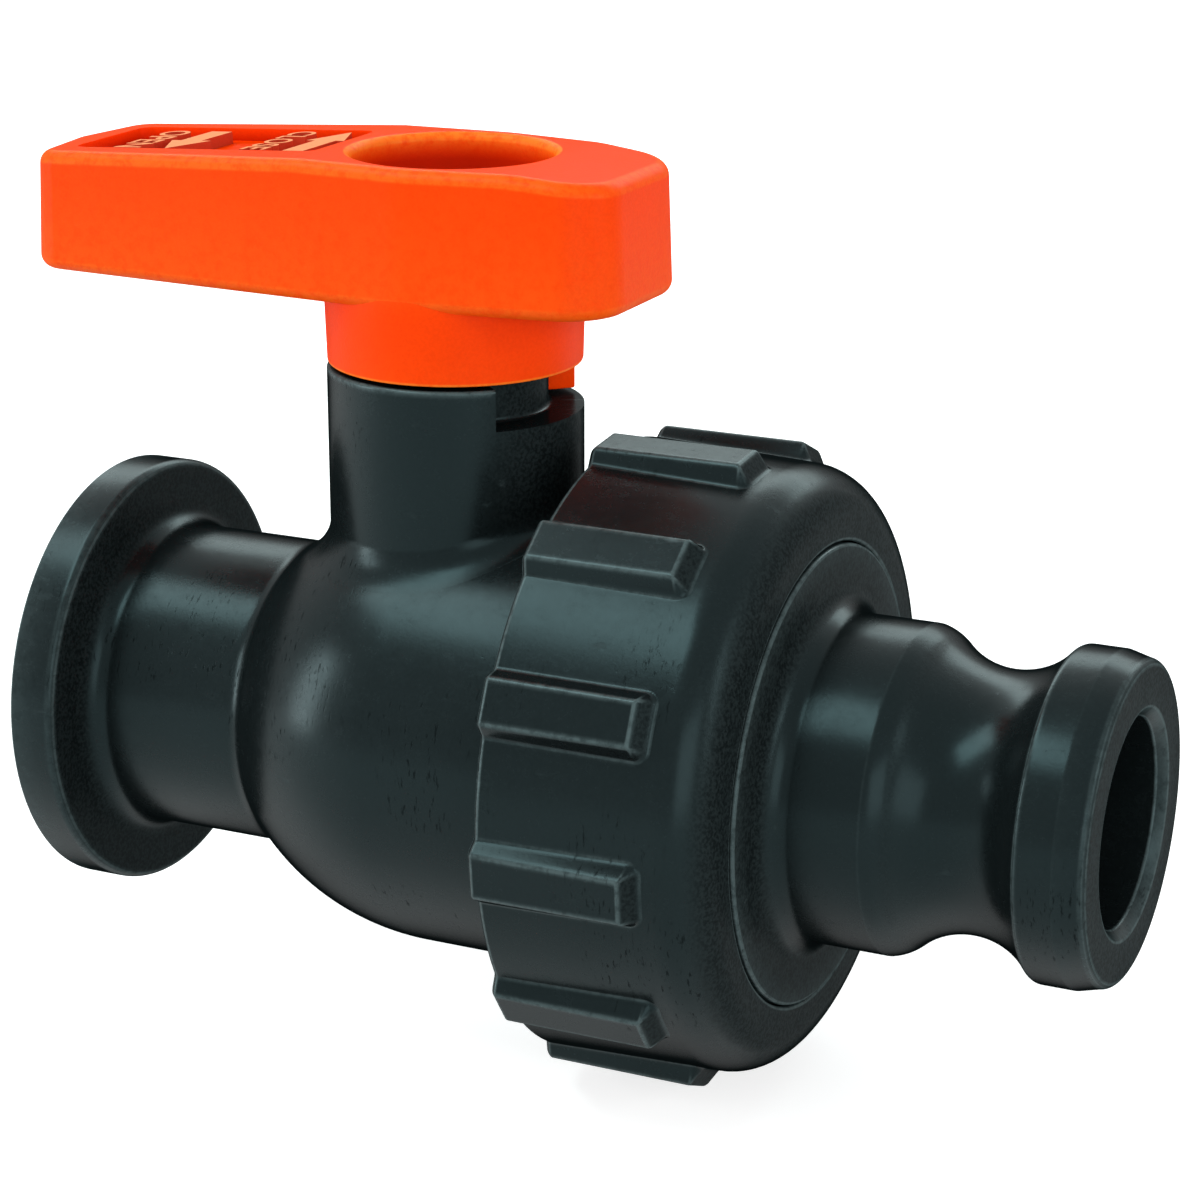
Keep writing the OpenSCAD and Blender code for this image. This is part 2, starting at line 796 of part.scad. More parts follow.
// One hollow cell under the lever
module lever_cell(i) {
    pitch = (cell_end_x - cell_start_x + cell_rib) / cell_count;
    x0 = cell_start_x + i * pitch;
    x1 = x0 + pitch - cell_rib;
    translate([x0, 0, lever_z - cut])
        rounded_prism(x1 - x0, cell_half_w(x0), cell_half_w(x1), cell_corner,
            cell_top_z - lever_z + cut);
}

module flat_washer() {
    color(steel)
        turned_z([[screw_r + ring_fit, well_z], [washer_r, well_z],
            [washer_r, well_z + washer_t], [screw_r + ring_fit, well_z + washer_t]]);
}

// Spring washer with a slanted split
module lock_washer() {
    color(steel)
        difference() {
            turned_z([[screw_r + ring_fit, lock_z], [lock_r, lock_z],
                [lock_r, lock_z + lock_t], [screw_r + ring_fit, lock_z + lock_t]]);
            translate([ball_x + lock_r / 2 + screw_r / 2, 0, lock_z + lock_t / 2])
                rotate([split_angle, 0, 0])
                    cube([lock_r, split_w, 3 * lock_t], center = true);
        }
}

// Screw with a domed head and a hexagon socket
module handle_screw() {
    tip_z = head_z - screw_len;
    dome_z = head_z + screw_head_h / 3;
    dome_h = 2 * screw_head_h / 3;
    color(steel)
        difference() {
            turned_z(concat([[0, tip_z], [screw_r - edge_break, tip_z],
                    [screw_r, tip_z + edge_break], [screw_r, head_z], [screw_head_r, head_z]],
                [for (a = [0, 22.5, 45, 67.5, 90])
                    [screw_head_r - screw_dome * (1 - cos(a)), dome_z + dome_h * sin(a)]],
                [[0, head_z + screw_head_h]]));
            translate([ball_x, 0, head_z + screw_head_h - screw_key_depth])
                cylinder(d = screw_key / cos(30), h = screw_key_depth + cut, $fn = 6);
        }
}

// Union nut: turned ring with grip ribs
module union_nut() {
    color(black)
        difference() {
            union() {
                turned_x(concat(
                    [[0, nut_x], [nut_r - edge_break, nut_x], [nut_r, nut_x + edge_break]],
                    arc(nut_end_x - nut_round, nut_shoulder_r - nut_round, nut_round, 90, 0),
                    [[0, nut_end_x]]));
                for (i = [0 : rib_count - 1])
                    rotate([rib_phase + 360 * i / rib_count, 0, 0])
                        grip_rib();
            }
            turned_x([[0, nut_x - cut], [nut_bore_r + lead_chamfer, nut_x - cut],
                [nut_bore_r + lead_chamfer, nut_x], [nut_bore_r, thread_x],
                [nut_bore_r, lip_x], [nut_open_r, lip_x], [nut_open_r, nut_end_x - face_break],
                [nut_open_r + face_break, nut_end_x], [nut_open_r + face_break, nut_end_x + cut],
                [0, nut_end_x + cut]]);
        }
}

// One grip rib: sloped flanks and a sloped front end
module grip_rib() {
    half = rib_top_w / 2;
    foot = half + rib_flank * (rib_r - rib_base_r) / rib_h;
    intersection() {
        translate([nut_x, 0, 0])
            rotate([90, 0, 90])
                linear_extrude(height = rib_len)
                    polygon([[-foot, rib_base_r], [-half, rib_r], [half, rib_r],
                        [foot, rib_base_r]]);
        translate([0, foot + cut, 0])
            rotate([90, 0, 0])
                linear_extrude(height = 2 * (foot + cut))
                    polygon([[nut_x, rib_base_r - cut], [nut_x, rib_r - edge_break],
                        [nut_x + edge_break, rib_r], [rib_front_x - rib_slope, rib_r],
                        [rib_front_x, nut_shoulder_r - edge_break],
                        [rib_front_x, rib_base_r - cut]]);
    }
}

// Male cam adapter with the flange that the nut pulls in
module cam_adapter() {
    groove_mid_r = groove_min_r + groove_arc_r;
    round_mid_r = spigot_r - spigot_round * cos(spigot_crease);
    near = asin((groove_mid_r - round_mid_r) / (groove_arc_r + spigot_round));
    far = asin((groove_mid_r - head_r + head_back_edge) / (groove_arc_r + head_back_edge));
    round_x = groove_x - (groove_arc_r + spigot_round) * cos(near);
    head_x = groove_x + (groove_arc_r + head_back_edge) * cos(far);
    lead_x = head_x + head_len;
    end_x = lead_x + lead_len + head_edge;
    lead_r = head_r - lead_drop;
    taper_x = flange_out_x + adapter_taper;
    color(black)
        difference() {
            turned_x(concat(
                [[0, flange_in_x], [union_flange_r - edge_break, flange_in_x],
                    [union_flange_r, flange_in_x + edge_break], [union_flange_r, flange_out_x],
                    [collar_plate_r, flange_out_x], [collar_plate_r, collar_x - face_break],
                    [collar_plate_r - face_break, collar_x]],
                arc(collar_x + spigot_fillet, spigot_r + spigot_fillet, spigot_fillet, 180, 270),
                arc(round_x, round_mid_r, spigot_round, 90 - spigot_crease, near),
                arc(groove_x, groove_mid_r, groove_arc_r, 180 + near, 360 - far),
                arc(head_x, head_r - head_back_edge, head_back_edge, 180 - far, 90),
                [[head_r, lead_x]],
                arc(end_x - head_edge, lead_r - head_edge, head_edge, 90, 0),
                [[0, end_x]]));
            turned_x([[0, flange_in_x - cut], [port_r, flange_in_x - cut],
                [port_r, flange_out_x], [adapter_bore_r, taper_x],
                [adapter_bore_r, end_x - mouth_chamfer],
                [adapter_bore_r + mouth_chamfer, end_x],
                [adapter_bore_r + mouth_chamfer, end_x + cut], [0, end_x + cut]]);
        }
}

valve_body();
seat_inlet();
seat_oring_inlet();
ball();
seat_outlet();
seat_oring_outlet();
seat_carrier();
carrier_oring();
face_oring();
stem();
stem_thrust_washer();
stem_oring_lower();
stem_oring_upper();
stem_insert();
handle();
flat_washer();
lock_washer();
handle_screw();
union_nut();
cam_adapter();
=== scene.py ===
"""Visual model of a quarter-turn valve with a manifold flange and a male cam adapter."""

import logging
import math
from dataclasses import dataclass, field
from enum import Enum
from typing import Callable, Sequence

import bmesh
import bpy
import numpy as np
from mathutils import Matrix, Vector

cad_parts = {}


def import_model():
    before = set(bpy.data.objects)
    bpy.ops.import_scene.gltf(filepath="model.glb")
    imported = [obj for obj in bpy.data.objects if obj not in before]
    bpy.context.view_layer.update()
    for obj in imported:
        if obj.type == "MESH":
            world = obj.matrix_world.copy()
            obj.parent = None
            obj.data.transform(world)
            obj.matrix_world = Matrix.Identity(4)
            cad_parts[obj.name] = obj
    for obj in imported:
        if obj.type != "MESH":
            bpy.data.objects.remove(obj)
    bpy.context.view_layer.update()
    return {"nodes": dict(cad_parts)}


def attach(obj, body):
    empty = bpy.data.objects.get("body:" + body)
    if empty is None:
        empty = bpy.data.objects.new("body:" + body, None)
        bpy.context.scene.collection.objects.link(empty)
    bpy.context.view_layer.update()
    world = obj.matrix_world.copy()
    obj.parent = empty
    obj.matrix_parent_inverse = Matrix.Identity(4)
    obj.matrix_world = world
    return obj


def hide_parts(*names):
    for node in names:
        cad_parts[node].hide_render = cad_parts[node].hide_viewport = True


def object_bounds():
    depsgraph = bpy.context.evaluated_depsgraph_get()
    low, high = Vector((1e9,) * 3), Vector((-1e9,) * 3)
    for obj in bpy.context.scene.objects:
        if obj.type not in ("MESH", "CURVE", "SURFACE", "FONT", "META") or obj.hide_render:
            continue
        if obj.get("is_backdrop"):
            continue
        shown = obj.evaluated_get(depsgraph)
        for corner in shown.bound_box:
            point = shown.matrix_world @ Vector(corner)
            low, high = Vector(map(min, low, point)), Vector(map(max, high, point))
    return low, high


log = logging.getLogger("valve")

MM = 0.001  # in metres
BALL_X = 44.5  # from the flange's face to the ball's centre and the stem's axis, in mm
Outline = list[tuple[float, float]]
Relief = Callable[[np.ndarray, np.ndarray, np.ndarray], np.ndarray]
Pieces = dict[str, list[bpy.types.Object]]


class Axis(Enum):
    """Line that a turned form is turned about."""

    FLOW = "flow"
    STEM = "stem"


class Sign(Enum):
    """Function words that the lever's recess carries."""

    OPEN = "OPEN"
    CLOSE = "CLOSE"


# Outlines


def arc(along: float, out: float, radius: float, start: float, end: float, steps: int = 24) -> Outline:
    """Lay points on an arc.

    Args:
        along: Centre's place along the axis, in mm.
        out: Centre's distance from the axis, in mm.
        radius: Radius in mm.
        start: First angle in degrees, measured from the axis.
        end: Last angle in degrees.
        steps: Number of chords.

    Returns:
        The arc's points from start to end.
    """
    turns = np.radians(np.linspace(start, end, steps + 1))
    return [(along + radius * math.cos(a), out + radius * math.sin(a)) for a in turns]


def thinned(points: np.ndarray, slack: float) -> np.ndarray:
    """Drop the points that a closed outline doesn't need.

    Args:
        points: Outline, one row a point.
        slack: Largest distance in mm by which a dropped point may miss.

    Returns:
        The rows that are kept, in order.
    """
    far = int(np.argmax(np.linalg.norm(points - points[0], axis=1)))
    loop = np.vstack([points, points[:1]])
    keep = {0, far, len(points)}
    spans = [(0, far), (far, len(points))]
    while spans:
        first, last = spans.pop()
        if last - first < 2:
            continue
        chord = loop[last] - loop[first]
        rest = loop[first + 1:last] - loop[first]
        size = float(np.hypot(*chord))
        if size < 1e-9:
            miss = np.linalg.norm(rest, axis=1)
        else:
            miss = np.abs(rest[:, 0] * chord[1] - rest[:, 1] * chord[0]) / size
        worst = int(np.argmax(miss))
        if miss[worst] > slack:
            middle = first + 1 + worst
            keep.add(middle)
            spans += [(first, middle), (middle, last)]
    keep.discard(len(points))
    return loop[sorted(keep)]


def softened(outline: Outline, width: float, slack: float = 0.002) -> np.ndarray:
    """Round every corner of a closed outline a little, as a mould does.

    Args:
        outline: Closed outline in mm.
        width: Length of outline that each corner is spread over, in mm.
        slack: Tolerance of the thinned outline in mm.

    Returns:
        The rounded outline, one row a point.
    """
    step = 0.05
    points = np.array(outline, float)
    apart = np.linalg.norm(np.roll(points, -1, axis=0) - points, axis=1) > 1e-6
    points = points[apart]
    loop = np.vstack([points, points[:1]])
    run = np.concatenate([[0.0], np.cumsum(np.linalg.norm(np.diff(loop, axis=0), axis=1))])
    at = np.linspace(0.0, run[-1], int(run[-1] / step), endpoint=False)
    dense = np.column_stack([np.interp(at, run, loop[:, k]) for k in (0, 1)])
    half = max(1, int(width / step / 2))
    kernel = np.bartlett(2 * half + 3)[1:-1]
    kernel = kernel / kernel.sum()
    around = np.vstack([dense[-half:], dense, dense[:half]])
    smooth = np.column_stack([np.convolve(around[:, k], kernel, "valid") for k in (0, 1)])
    return thinned(smooth, slack)


def refined(points: np.ndarray, spacing: Callable[[float, float], float]) -> np.ndarray:
    """Add points to an outline where its surface carries relief.

    Args:
        points: Closed outline, one row a point.
        spacing: Largest gap in mm wanted at a place on the outline.

    Returns:
        The outline with its long gaps divided.
    """
    rows = []
    for here, there in zip(points, np.roll(points, -1, axis=0)):
        middle = (here + there) / 2
        parts = max(1, math.ceil(float(np.hypot(*(there - here))) / spacing(*middle)))
        rows += [here + (there - here) * k / parts for k in range(parts)]
    return np.array(rows)


# Meshes


def piece_from(name: str, points: np.ndarray, faces: Sequence[Sequence[int]]) -> bpy.types.Object:
    """Make an object from points in mm.

    Args:
        name: Object's name.
        points: One row a point, in mm.
        faces: Corner numbers of each face.

    Returns:
        The new object, linked to the scene.
    """
    mesh = bpy.data.meshes.new(name)
    mesh.from_pydata((np.asarray(points) * MM).tolist(), [], [list(f) for f in faces])
    mesh.validate()
    piece = bpy.data.objects.new(name, mesh)
    bpy.context.scene.collection.objects.link(piece)
    return piece


def tidied(piece: bpy.types.Object, sharp: float = 38.0, merge: bool = False) -> bpy.types.Object:
    """Turn the faces outward, and shade smooth but for sharp edges.

    Args:
        piece: Object to finish.
        sharp: Angle in degrees over which an edge stays sharp.
        merge: Whether points that coincide are joined.

    Returns:
        The same object.
    """
    work = bmesh.new()
    work.from_mesh(piece.data)
    if merge:
        bmesh.ops.remove_doubles(work, verts=work.verts, dist=2e-7)
    bmesh.ops.recalc_face_normals(work, faces=work.faces)
    work.to_mesh(piece.data)
    work.free()
    piece.data.shade_smooth()
    piece.data.set_sharp_from_angle(angle=math.radians(sharp))
    return piece


def mark_wear_and_highlight(piece: bpy.types.Object, low: float = 450.0, high: float = 1700.0,
              feet: float = 0.0) -> None:
    """Store how strongly each point bulges, for the finish to lighten its edges by rubbing and by a
    painted highlight.

    Args:
        piece: Object whose mesh gets the value.
        low: Curvature per metre where the lightening starts.
        high: Curvature per metre where the lightening is full.
        feet: Share of that lightening that concave corners get, a painted highlight there.
    """
    mesh = piece.data
    points = np.empty(len(mesh.vertices) * 3)
    mesh.vertices.foreach_get("co", points)
    normals = np.empty(len(mesh.vertices) * 3)
    mesh.vertices.foreach_get("normal", normals)
    ends = np.empty(len(mesh.edges) * 2, dtype=np.int64)
    mesh.edges.foreach_get("vertices", ends)
    points, normals, ends = points.reshape(-1, 3), normals.reshape(-1, 3), ends.reshape(-1, 2)
    along = points[ends[:, 1]] - points[ends[:, 0]]
    size = np.maximum((along ** 2).sum(axis=1), 1e-14)
    bend = ((normals[ends[:, 1]] - normals[ends[:, 0]]) * along).sum(axis=1) / size
    worst = np.zeros(len(points))
    for side in (0, 1):
        # Concave corners get a share too: a painted highlight at fillets and rib feet.
        np.maximum.at(worst, ends[:, side], np.maximum(bend, -feet * bend))
    value = np.clip((worst - low) / (high - low), 0.0, 1.0)
    store = mesh.attributes.new("wear_and_highlight", "FLOAT", "POINT")
    store.data.foreach_set("value", value.astype(np.float32))


def turned(name: str, outline: np.ndarray, axis: Axis = Axis.FLOW, angles: np.ndarray | int = 192,
           relief: Relief | None = None) -> bpy.types.Object:
    """Turn a closed outline about an axis.

    Args:
        name: Object's name.
        outline: Rows of place along the axis and distance from it, in mm.
        axis: Line to turn about.
        angles: Angles in radians, or how many equal steps to take.
        relief: Height in mm added at each place and angle, or None.

    Returns:
        The turned object.
    """
    outline = np.asarray(outline, float)
    nxt = np.roll(outline, -1, axis=0)
    if (outline[:, 0] * nxt[:, 1] - nxt[:, 0] * outline[:, 1]).sum() < 0:
        outline = outline[::-1]
    if isinstance(angles, int):
        angles = np.linspace(0.0, 2 * math.pi, angles, endpoint=False)
    along, out = outline[:, :1], outline[:, 1:]
    turn = angles[None, :]
    reach = out + np.zeros_like(turn)
    if relief is not None:
        reach = reach + relief(along + 0 * turn, reach, turn + 0 * along)
    level = along + 0 * turn
    side, up = reach * np.cos(turn), reach * np.sin(turn)
    if axis is Axis.FLOW:
        points = np.stack([level, side, up], axis=-1)
    else:
        points = np.stack([BALL_X + side, up, level], axis=-1)
    rows, cols = reach.shape
    row, col = np.meshgrid(np.arange(rows), np.arange(cols), indexing="ij")
    below, beside = (row + 1) % rows, (col + 1) % cols
    faces = np.stack([row * cols + col, below * cols + col, below * cols + beside,
                      row * cols + beside], axis=-1).reshape(-1, 4)
    piece = piece_from(name, points.reshape(-1, 3), faces.tolist())
    return tidied(piece, merge=bool((outline[:, 1] < 1e-6).any()))


def ring_faces(rings: int, cols: int) -> list[tuple[int, ...]]:
    """Join rings of points, each to the next, with four-cornered faces.

    Args:
        rings: Number of rings.
        cols: Points in each ring.

    Returns:
        Corner numbers of each face.
    """
    return [(k * cols + j, k * cols + (j + 1) % cols, (k + 1) * cols + (j + 1) % cols,
             (k + 1) * cols + j) for k in range(rings - 1) for j in range(cols)]


def prism(name: str, outline: Outline, low: float, high: float) -> bpy.types.Object:
    """Extrude a plan outline upward.

    Args:
        name: Object's name.
        outline: Plan points in mm.
        low: Height of the underside in mm.
        high: Height of the top in mm.

    Returns:
        The prism.
    """
    count = len(outline)
    points = [(x, y, z) for z in (low, high) for x, y in outline]
    caps = [tuple(range(count))[::-1], tuple(range(count, 2 * count))]
    return tidied(piece_from(name, np.array(points), ring_faces(2, count) + caps))


def round_box(x0: float, x1: float, half: float, corner: float, steps: int = 8) -> Outline:
    """Outline a rectangle with round corners, centred on the flow axis.

    Args:
        x0: Low end in mm.
        x1: High end in mm.
        half: Half width in mm.
        corner: Corner radius in mm.
        steps: Chords in each corner.

    Returns:
        Plan points, anticlockwise.
    """
    points: Outline = []
    centres = [(x1 - corner, half - corner), (x0 + corner, half - corner),
               (x0 + corner, corner - half), (x1 - corner, corner - half)]
    for k, (x, y) in enumerate(centres):
        points += arc(x, y, corner, 90 * k, 90 * k + 90, steps)
    return points


def baked(piece: bpy.types.Object) -> None:
    """Put what the object's modifiers make into its mesh.

    Args:
        piece: Object that loses its modifiers.
    """
    graph = bpy.context.evaluated_depsgraph_get()
    graph.update()
    fresh = bpy.data.meshes.new_from_object(piece.evaluated_get(graph))
    piece.modifiers.clear()
    stale = piece.data
    piece.data = fresh
    bpy.data.meshes.remove(stale)


def cut(piece: bpy.types.Object, tool: bpy.types.Object) -> None:
    """Cut one closed object by another.

    Args:
        piece: Object that keeps the result.
        tool: Object that is used up.
    """
    change = piece.modifiers.new("cut", "BOOLEAN")
    change.operation = "DIFFERENCE"
    change.solver = "EXACT"
    change.object = tool
    bpy.context.view_layer.update()
    baked(piece)
    stale = tool.data
    bpy.data.objects.remove(tool)
    bpy.data.meshes.remove(stale)


def steadied(piece: bpy.types.Object) -> None:
    """Let the large faces lead the shading of a cut object.

    Args:
        piece: Object to steady.
    """
    change = piece.modifiers.new("steady", "WEIGHTED_NORMAL")
    change.mode = "FACE_AREA"
    change.weight = 70
    change.keep_sharp = True


# Shader maths


class Socket:
    """A shader output that takes part in Python expressions."""

    def __init__(self, graph: "Graph", output: bpy.types.NodeSocket | None) -> None:
        """Wrap one output of one graph."""
        self.graph = graph
        self.output = output

    def math(self, operation: str, *others: "Socket | float", first: bool = True) -> "Socket":
        """Add one Math node, with this socket as its first operand or as its last."""
        terms = [self, *others] if first else [*others, self]
        return self.graph.node("ShaderNodeMath", {"operation": operation}, dict(enumerate(terms)))

    def __add__(self, other: "Socket | float") -> "Socket":
        """Return self + other."""
        return self.math("ADD", other)

    def __radd__(self, other: float) -> "Socket":
        """Return other + self."""
        return self.math("ADD", other, first=False)

    def __sub__(self, other: "Socket | float") -> "Socket":
        """Return self - other."""
        return self.math("SUBTRACT", other)

    def __rsub__(self, other: float) -> "Socket":
        """Return other - self."""
        return self.math("SUBTRACT", other, first=False)

    def __mul__(self, other: "Socket | float") -> "Socket":
        """Return self * other."""
        return self.math("MULTIPLY", other)

    def __rmul__(self, other: float) -> "Socket":
        """Return other * self."""
        return self.math("MULTIPLY", other, first=False)

    def larger(self, other: "Socket | float") -> "Socket":
        """Return the larger of the two."""
        return self.math("MAXIMUM", other)

    def between(self, low: float, high: float) -> "Socket":
        """Step smoothly from 0 at low to 1 at high."""
        return self.graph.node("ShaderNodeMapRange", {"interpolation_type": "SMOOTHSTEP"},
                               {0: self, 1: low, 2: high, 3: 0.0, 4: 1.0})


class Graph:
    """Node tree of one material or world."""

    def __init__(self, tree: bpy.types.NodeTree) -> None:
        """Start with an empty tree."""
        self.tree = tree
        self.tree.nodes.clear()

    def node(self, kind: str, settings: dict[str, object] | None = None,
             inputs: dict[int | str, object] | None = None, out: int | str = 0) -> Socket:
        """Add one node.

        Args:
            kind: Node's type name.
            settings: Attributes that are set before the sockets.
            inputs: Values or links of its sockets, by number or name.
            out: Output to return, by number or name.

        Returns:
            The chosen output.
        """
        made = self.tree.nodes.new(kind)
        for key, value in (settings or {}).items():
            setattr(made, key, value)
        for key, value in (inputs or {}).items():
            if isinstance(value, Socket):
                self.tree.links.new(value.output, made.inputs[key])
            else:
                made.inputs[key].default_value = value
        return Socket(self, made.outputs[out] if len(made.outputs) else None)

    def noise(self, where: Socket, scale: float, detail: float = 3.0, rough: float = 0.55) -> Socket:
        """Add a noise of so many waves per metre, about 0.5 on average."""
        return self.node("ShaderNodeTexNoise", None, {"Vector": where, "Scale": scale,
                                                      "Detail": detail, "Roughness": rough})

    def stretched(self, where: Socket, scale: tuple[float, float, float]) -> Socket:
        """Stretch a place by a factor along each axis."""
        return self.node("ShaderNodeMapping", None, {"Vector": where, "Scale": scale})

    def stored(self, name: str) -> Socket:
        """Return a value that the mesh stores at its points."""
        return self.node("ShaderNodeAttribute", {"attribute_name": name}, out="Fac")

    def facing(self, axis: int) -> Socket:
        """Return how far the surface faces along x (0), y (1) or z (2)."""
        normal = self.node("ShaderNodeTexCoord", out="Normal")
        return self.node("ShaderNodeSeparateXYZ", None, {0: normal}, out=axis)

    def blend(self, mask: Socket | float, first: object, second: object) -> Socket:
        """Mix two colours: a mask of 0 keeps the first, and 1 the second."""
        return self.node("ShaderNodeMix", {"data_type": "RGBA"}, {0: mask, 6: first, 7: second}, out=2)


def rgba(colour: tuple[float, float, float]) -> tuple[float, float, float, float]:
    """Add a full alpha to a colour."""
    return (*colour, 1.0)


# Finishes


@dataclass(frozen=True)
class Marks:
    """Patterns that a finish's tone, gloss and height share.

    Attributes:
        cloud: Slow drift, about 0.5 on average.
        fleck: Small flecks, about 0.5 on average.
        grain: Fine grain, about 0.5 on average.
        streak: Marks stretched along the lay, about 0.5 on average.
        rubbed: Edges lightened by rubbing and by a painted highlight.
        nick: Short dark nicks.
        scuff: Rub marks.
        matt: Turned end faces, which carry a coarser grain.
    """

    cloud: Socket
    fleck: Socket
    grain: Socket
    streak: Socket
    rubbed: Socket
    nick: Socket
    scuff: Socket
    matt: Socket


@dataclass(frozen=True)
class Finish:
    """A moulded or machined surface.

    Attributes:
        name: Material's name.
        colour: Main linear colour.
        worn_and_lit: Colour of edges lightened by rubbing and by a painted highlight, and of scuffs and
            end-face grain.
        roughness: Middle roughness.
        spread: How far the roughness wanders.
        specular: Specular level of the shader.
        tint: Tint of the plain reflection.
        metallic: 1 for metal, else 0.
        grain_scale: Waves of the fine grain per metre.
        grain_depth: Height of the fine grain in mm.
        face_grain: Extra grain on the turned end faces, 0 for none.
        scuffs: Strength of the rub marks, 0 for none.
        nicks: Strength of the short dark nicks, 0 for none.
        calm: How far the gloss fades on end faces and at a slant, as on moulded grain.
        hollow: Strength of the painted shade inside recesses, 0 for none.
        deep: Tone of the painted shade inside the recesses.
        edge_wear_and_highlight: Strength of the edges lightened by rubbing and by a painted highlight.
        mottle: Strength of the colour's mottling.
        lay: Stretch of the marks along each axis.
    """

    name: str
    colour: tuple[float, float, float]
    worn_and_lit: tuple[float, float, float]
    roughness: float
    spread: float = 0.1
    specular: float = 0.5
    tint: tuple[float, float, float] = (1.0, 1.0, 1.0)
    metallic: float = 0.0
    grain_scale: float = 2600.0
    grain_depth: float = 0.006
    face_grain: float = 0.0
    scuffs: float = 0.0
    nicks: float = 0.0
    calm: float = 0.0
    hollow: float = 0.0
    deep: tuple[float, float, float] = (0.5, 0.012, 0.0)
    edge_wear_and_highlight: float = 0.6
    mottle: float = 0.35
    lay: tuple[float, float, float] = (1.0, 1.0, 1.0)

    def marks(self, graph: Graph) -> Marks:
        """Lay the patterns of the surface.

        Args:
            graph: The material's node tree.

        Returns:
            The patterns.
        """
        where = graph.node("ShaderNodeTexCoord", out="Object")
        cloud = graph.noise(where, 160.0, 4.0)
        fleck = graph.noise(where, 900.0, 3.0, 0.7)
        streak = graph.noise(graph.stretched(where, self.lay), 700.0, 4.0, 0.65)
        short = graph.noise(graph.stretched(where, (4.0, 1.0, 1.0)), 640.0, 3.0, 0.65)
        patch = graph.noise(where, 48.0, 1.0)
        return Marks(
            cloud=cloud, fleck=fleck, streak=streak,
            grain=graph.noise(where, self.grain_scale, 2.0),
            # Edge lightening from the stored curvature: rubbing, and a painted highlight along edges and
            # crests.
            rubbed=graph.stored("wear_and_highlight") * (fleck.between(0.25, 0.6) * 0.45 + 0.55) * self.edge_wear_and_highlight,
            nick=short.between(0.58, 0.68) * patch.between(0.53, 0.64) * self.nicks,
            scuff=streak.between(0.6, 0.74) * cloud.between(0.5, 0.66) * self.scuffs,
            matt=graph.facing(0).between(0.55, 0.96) * self.face_grain)

    def tone(self, graph: Graph, marks: Marks) -> Socket:
        """Mix the colour: mottling first, then edges lightened by rubbing and a painted highlight, nicks,
        end faces, and painted shade in recesses.

        Args:
            graph: The material's node tree.
            marks: The surface's patterns.

        Returns:
            The colour.
        """
        shade = tuple(c * (1.0 - 0.55 * self.mottle) for c in self.colour)
        light = tuple(min(1.0, c * (1.0 + 0.7 * self.mottle)) for c in self.colour)
        grit = marks.grain.between(0.35, 0.65)
        mottling = marks.cloud * 0.4 + marks.fleck * 0.25 + grit * 0.35
        tone = graph.blend(mottling, rgba(shade), rgba(light))
        # Edges lightened: rubbing, and a painted highlight along edges and crests; scuffs are lighter too.
        tone = graph.blend((marks.rubbed + marks.scuff * 0.35).between(0.0, 1.4), tone, rgba(self.worn_and_lit))
        tone = graph.blend(marks.nick * 0.8, tone, rgba(tuple(0.25 * c for c in self.colour)))
        tone = graph.blend(grit * marks.matt * 0.09, tone, rgba(self.worn_and_lit))
        # Painted shade inside the well and the sign recess, weaker on up-facing floors than on the walls.
        if self.hollow:
            recess_shade_mask = graph.stored("hollow") * (1.0 - graph.facing(2).between(0.5, 0.9) * 0.75)
            tone = graph.blend(recess_shade_mask * self.hollow, tone, rgba(self.deep))
        return tone

    def gloss(self, marks: Marks) -> Socket:
        """Work out the roughness.

        Args:
            marks: The surface's patterns.

        Returns:
            The roughness.
        """
        rough = (marks.cloud - 0.5) * self.spread + (marks.fleck - 0.5) * self.spread + self.roughness
        fine = (marks.grain + marks.streak - 1.0) * (0.7 * self.spread)
        return rough + marks.scuff * 0.16 + marks.matt * 0.2 + fine

    def relief(self, graph: Graph, marks: Marks) -> Socket:
        """Raise the grain, and sink the pits, scuffs and nicks.

        Args:
            graph: The material's node tree.
            marks: The surface's patterns.

        Returns:
            The bumped normal.
        """
        deep = self.grain_depth
        height = marks.grain * (1.0 + 5.0 * marks.matt) * deep
        height = height + marks.fleck.between(0.66, 0.8) * (-1.6 * deep) * (0.3 + self.scuffs)
        height = height - marks.scuff * (1.2 * deep) - marks.nick * (2.0 * deep)
        return graph.node("ShaderNodeBump", None, {"Strength": 1.0, "Distance": MM, "Height": height})

    def material(self) -> bpy.types.Material:
        """Build the node material.

        Returns:
            The material.
        """
        made = bpy.data.materials.new(self.name)
        made.use_nodes = True
        graph = Graph(made.node_tree)
        marks = self.marks(graph)
        shared = {"Base Color": self.tone(graph, marks), "Roughness": self.gloss(marks),
                  "Normal": self.relief(graph, marks), "Metallic": self.metallic,
                  "Specular Tint": rgba(self.tint)}
        glossy = graph.node("ShaderNodeBsdfPrincipled", None,
                            {**shared, "Specular IOR Level": self.specular})
        if self.calm:
            plain = graph.node("ShaderNodeBsdfPrincipled", None, {**shared, "Specular IOR Level": 0.0})
            slant = graph.node("ShaderNodeLayerWeight", None, {"Blend": 0.5}, out="Facing")
            dull = (marks.matt * 0.8).larger(slant.between(0.38, 0.88)).larger(marks.nick) * self.calm
            glossy = graph.node("ShaderNodeMixShader", None, {0: dull, 1: glossy, 2: plain})
        graph.node("ShaderNodeOutputMaterial", None, {"Surface": glossy})
        return made


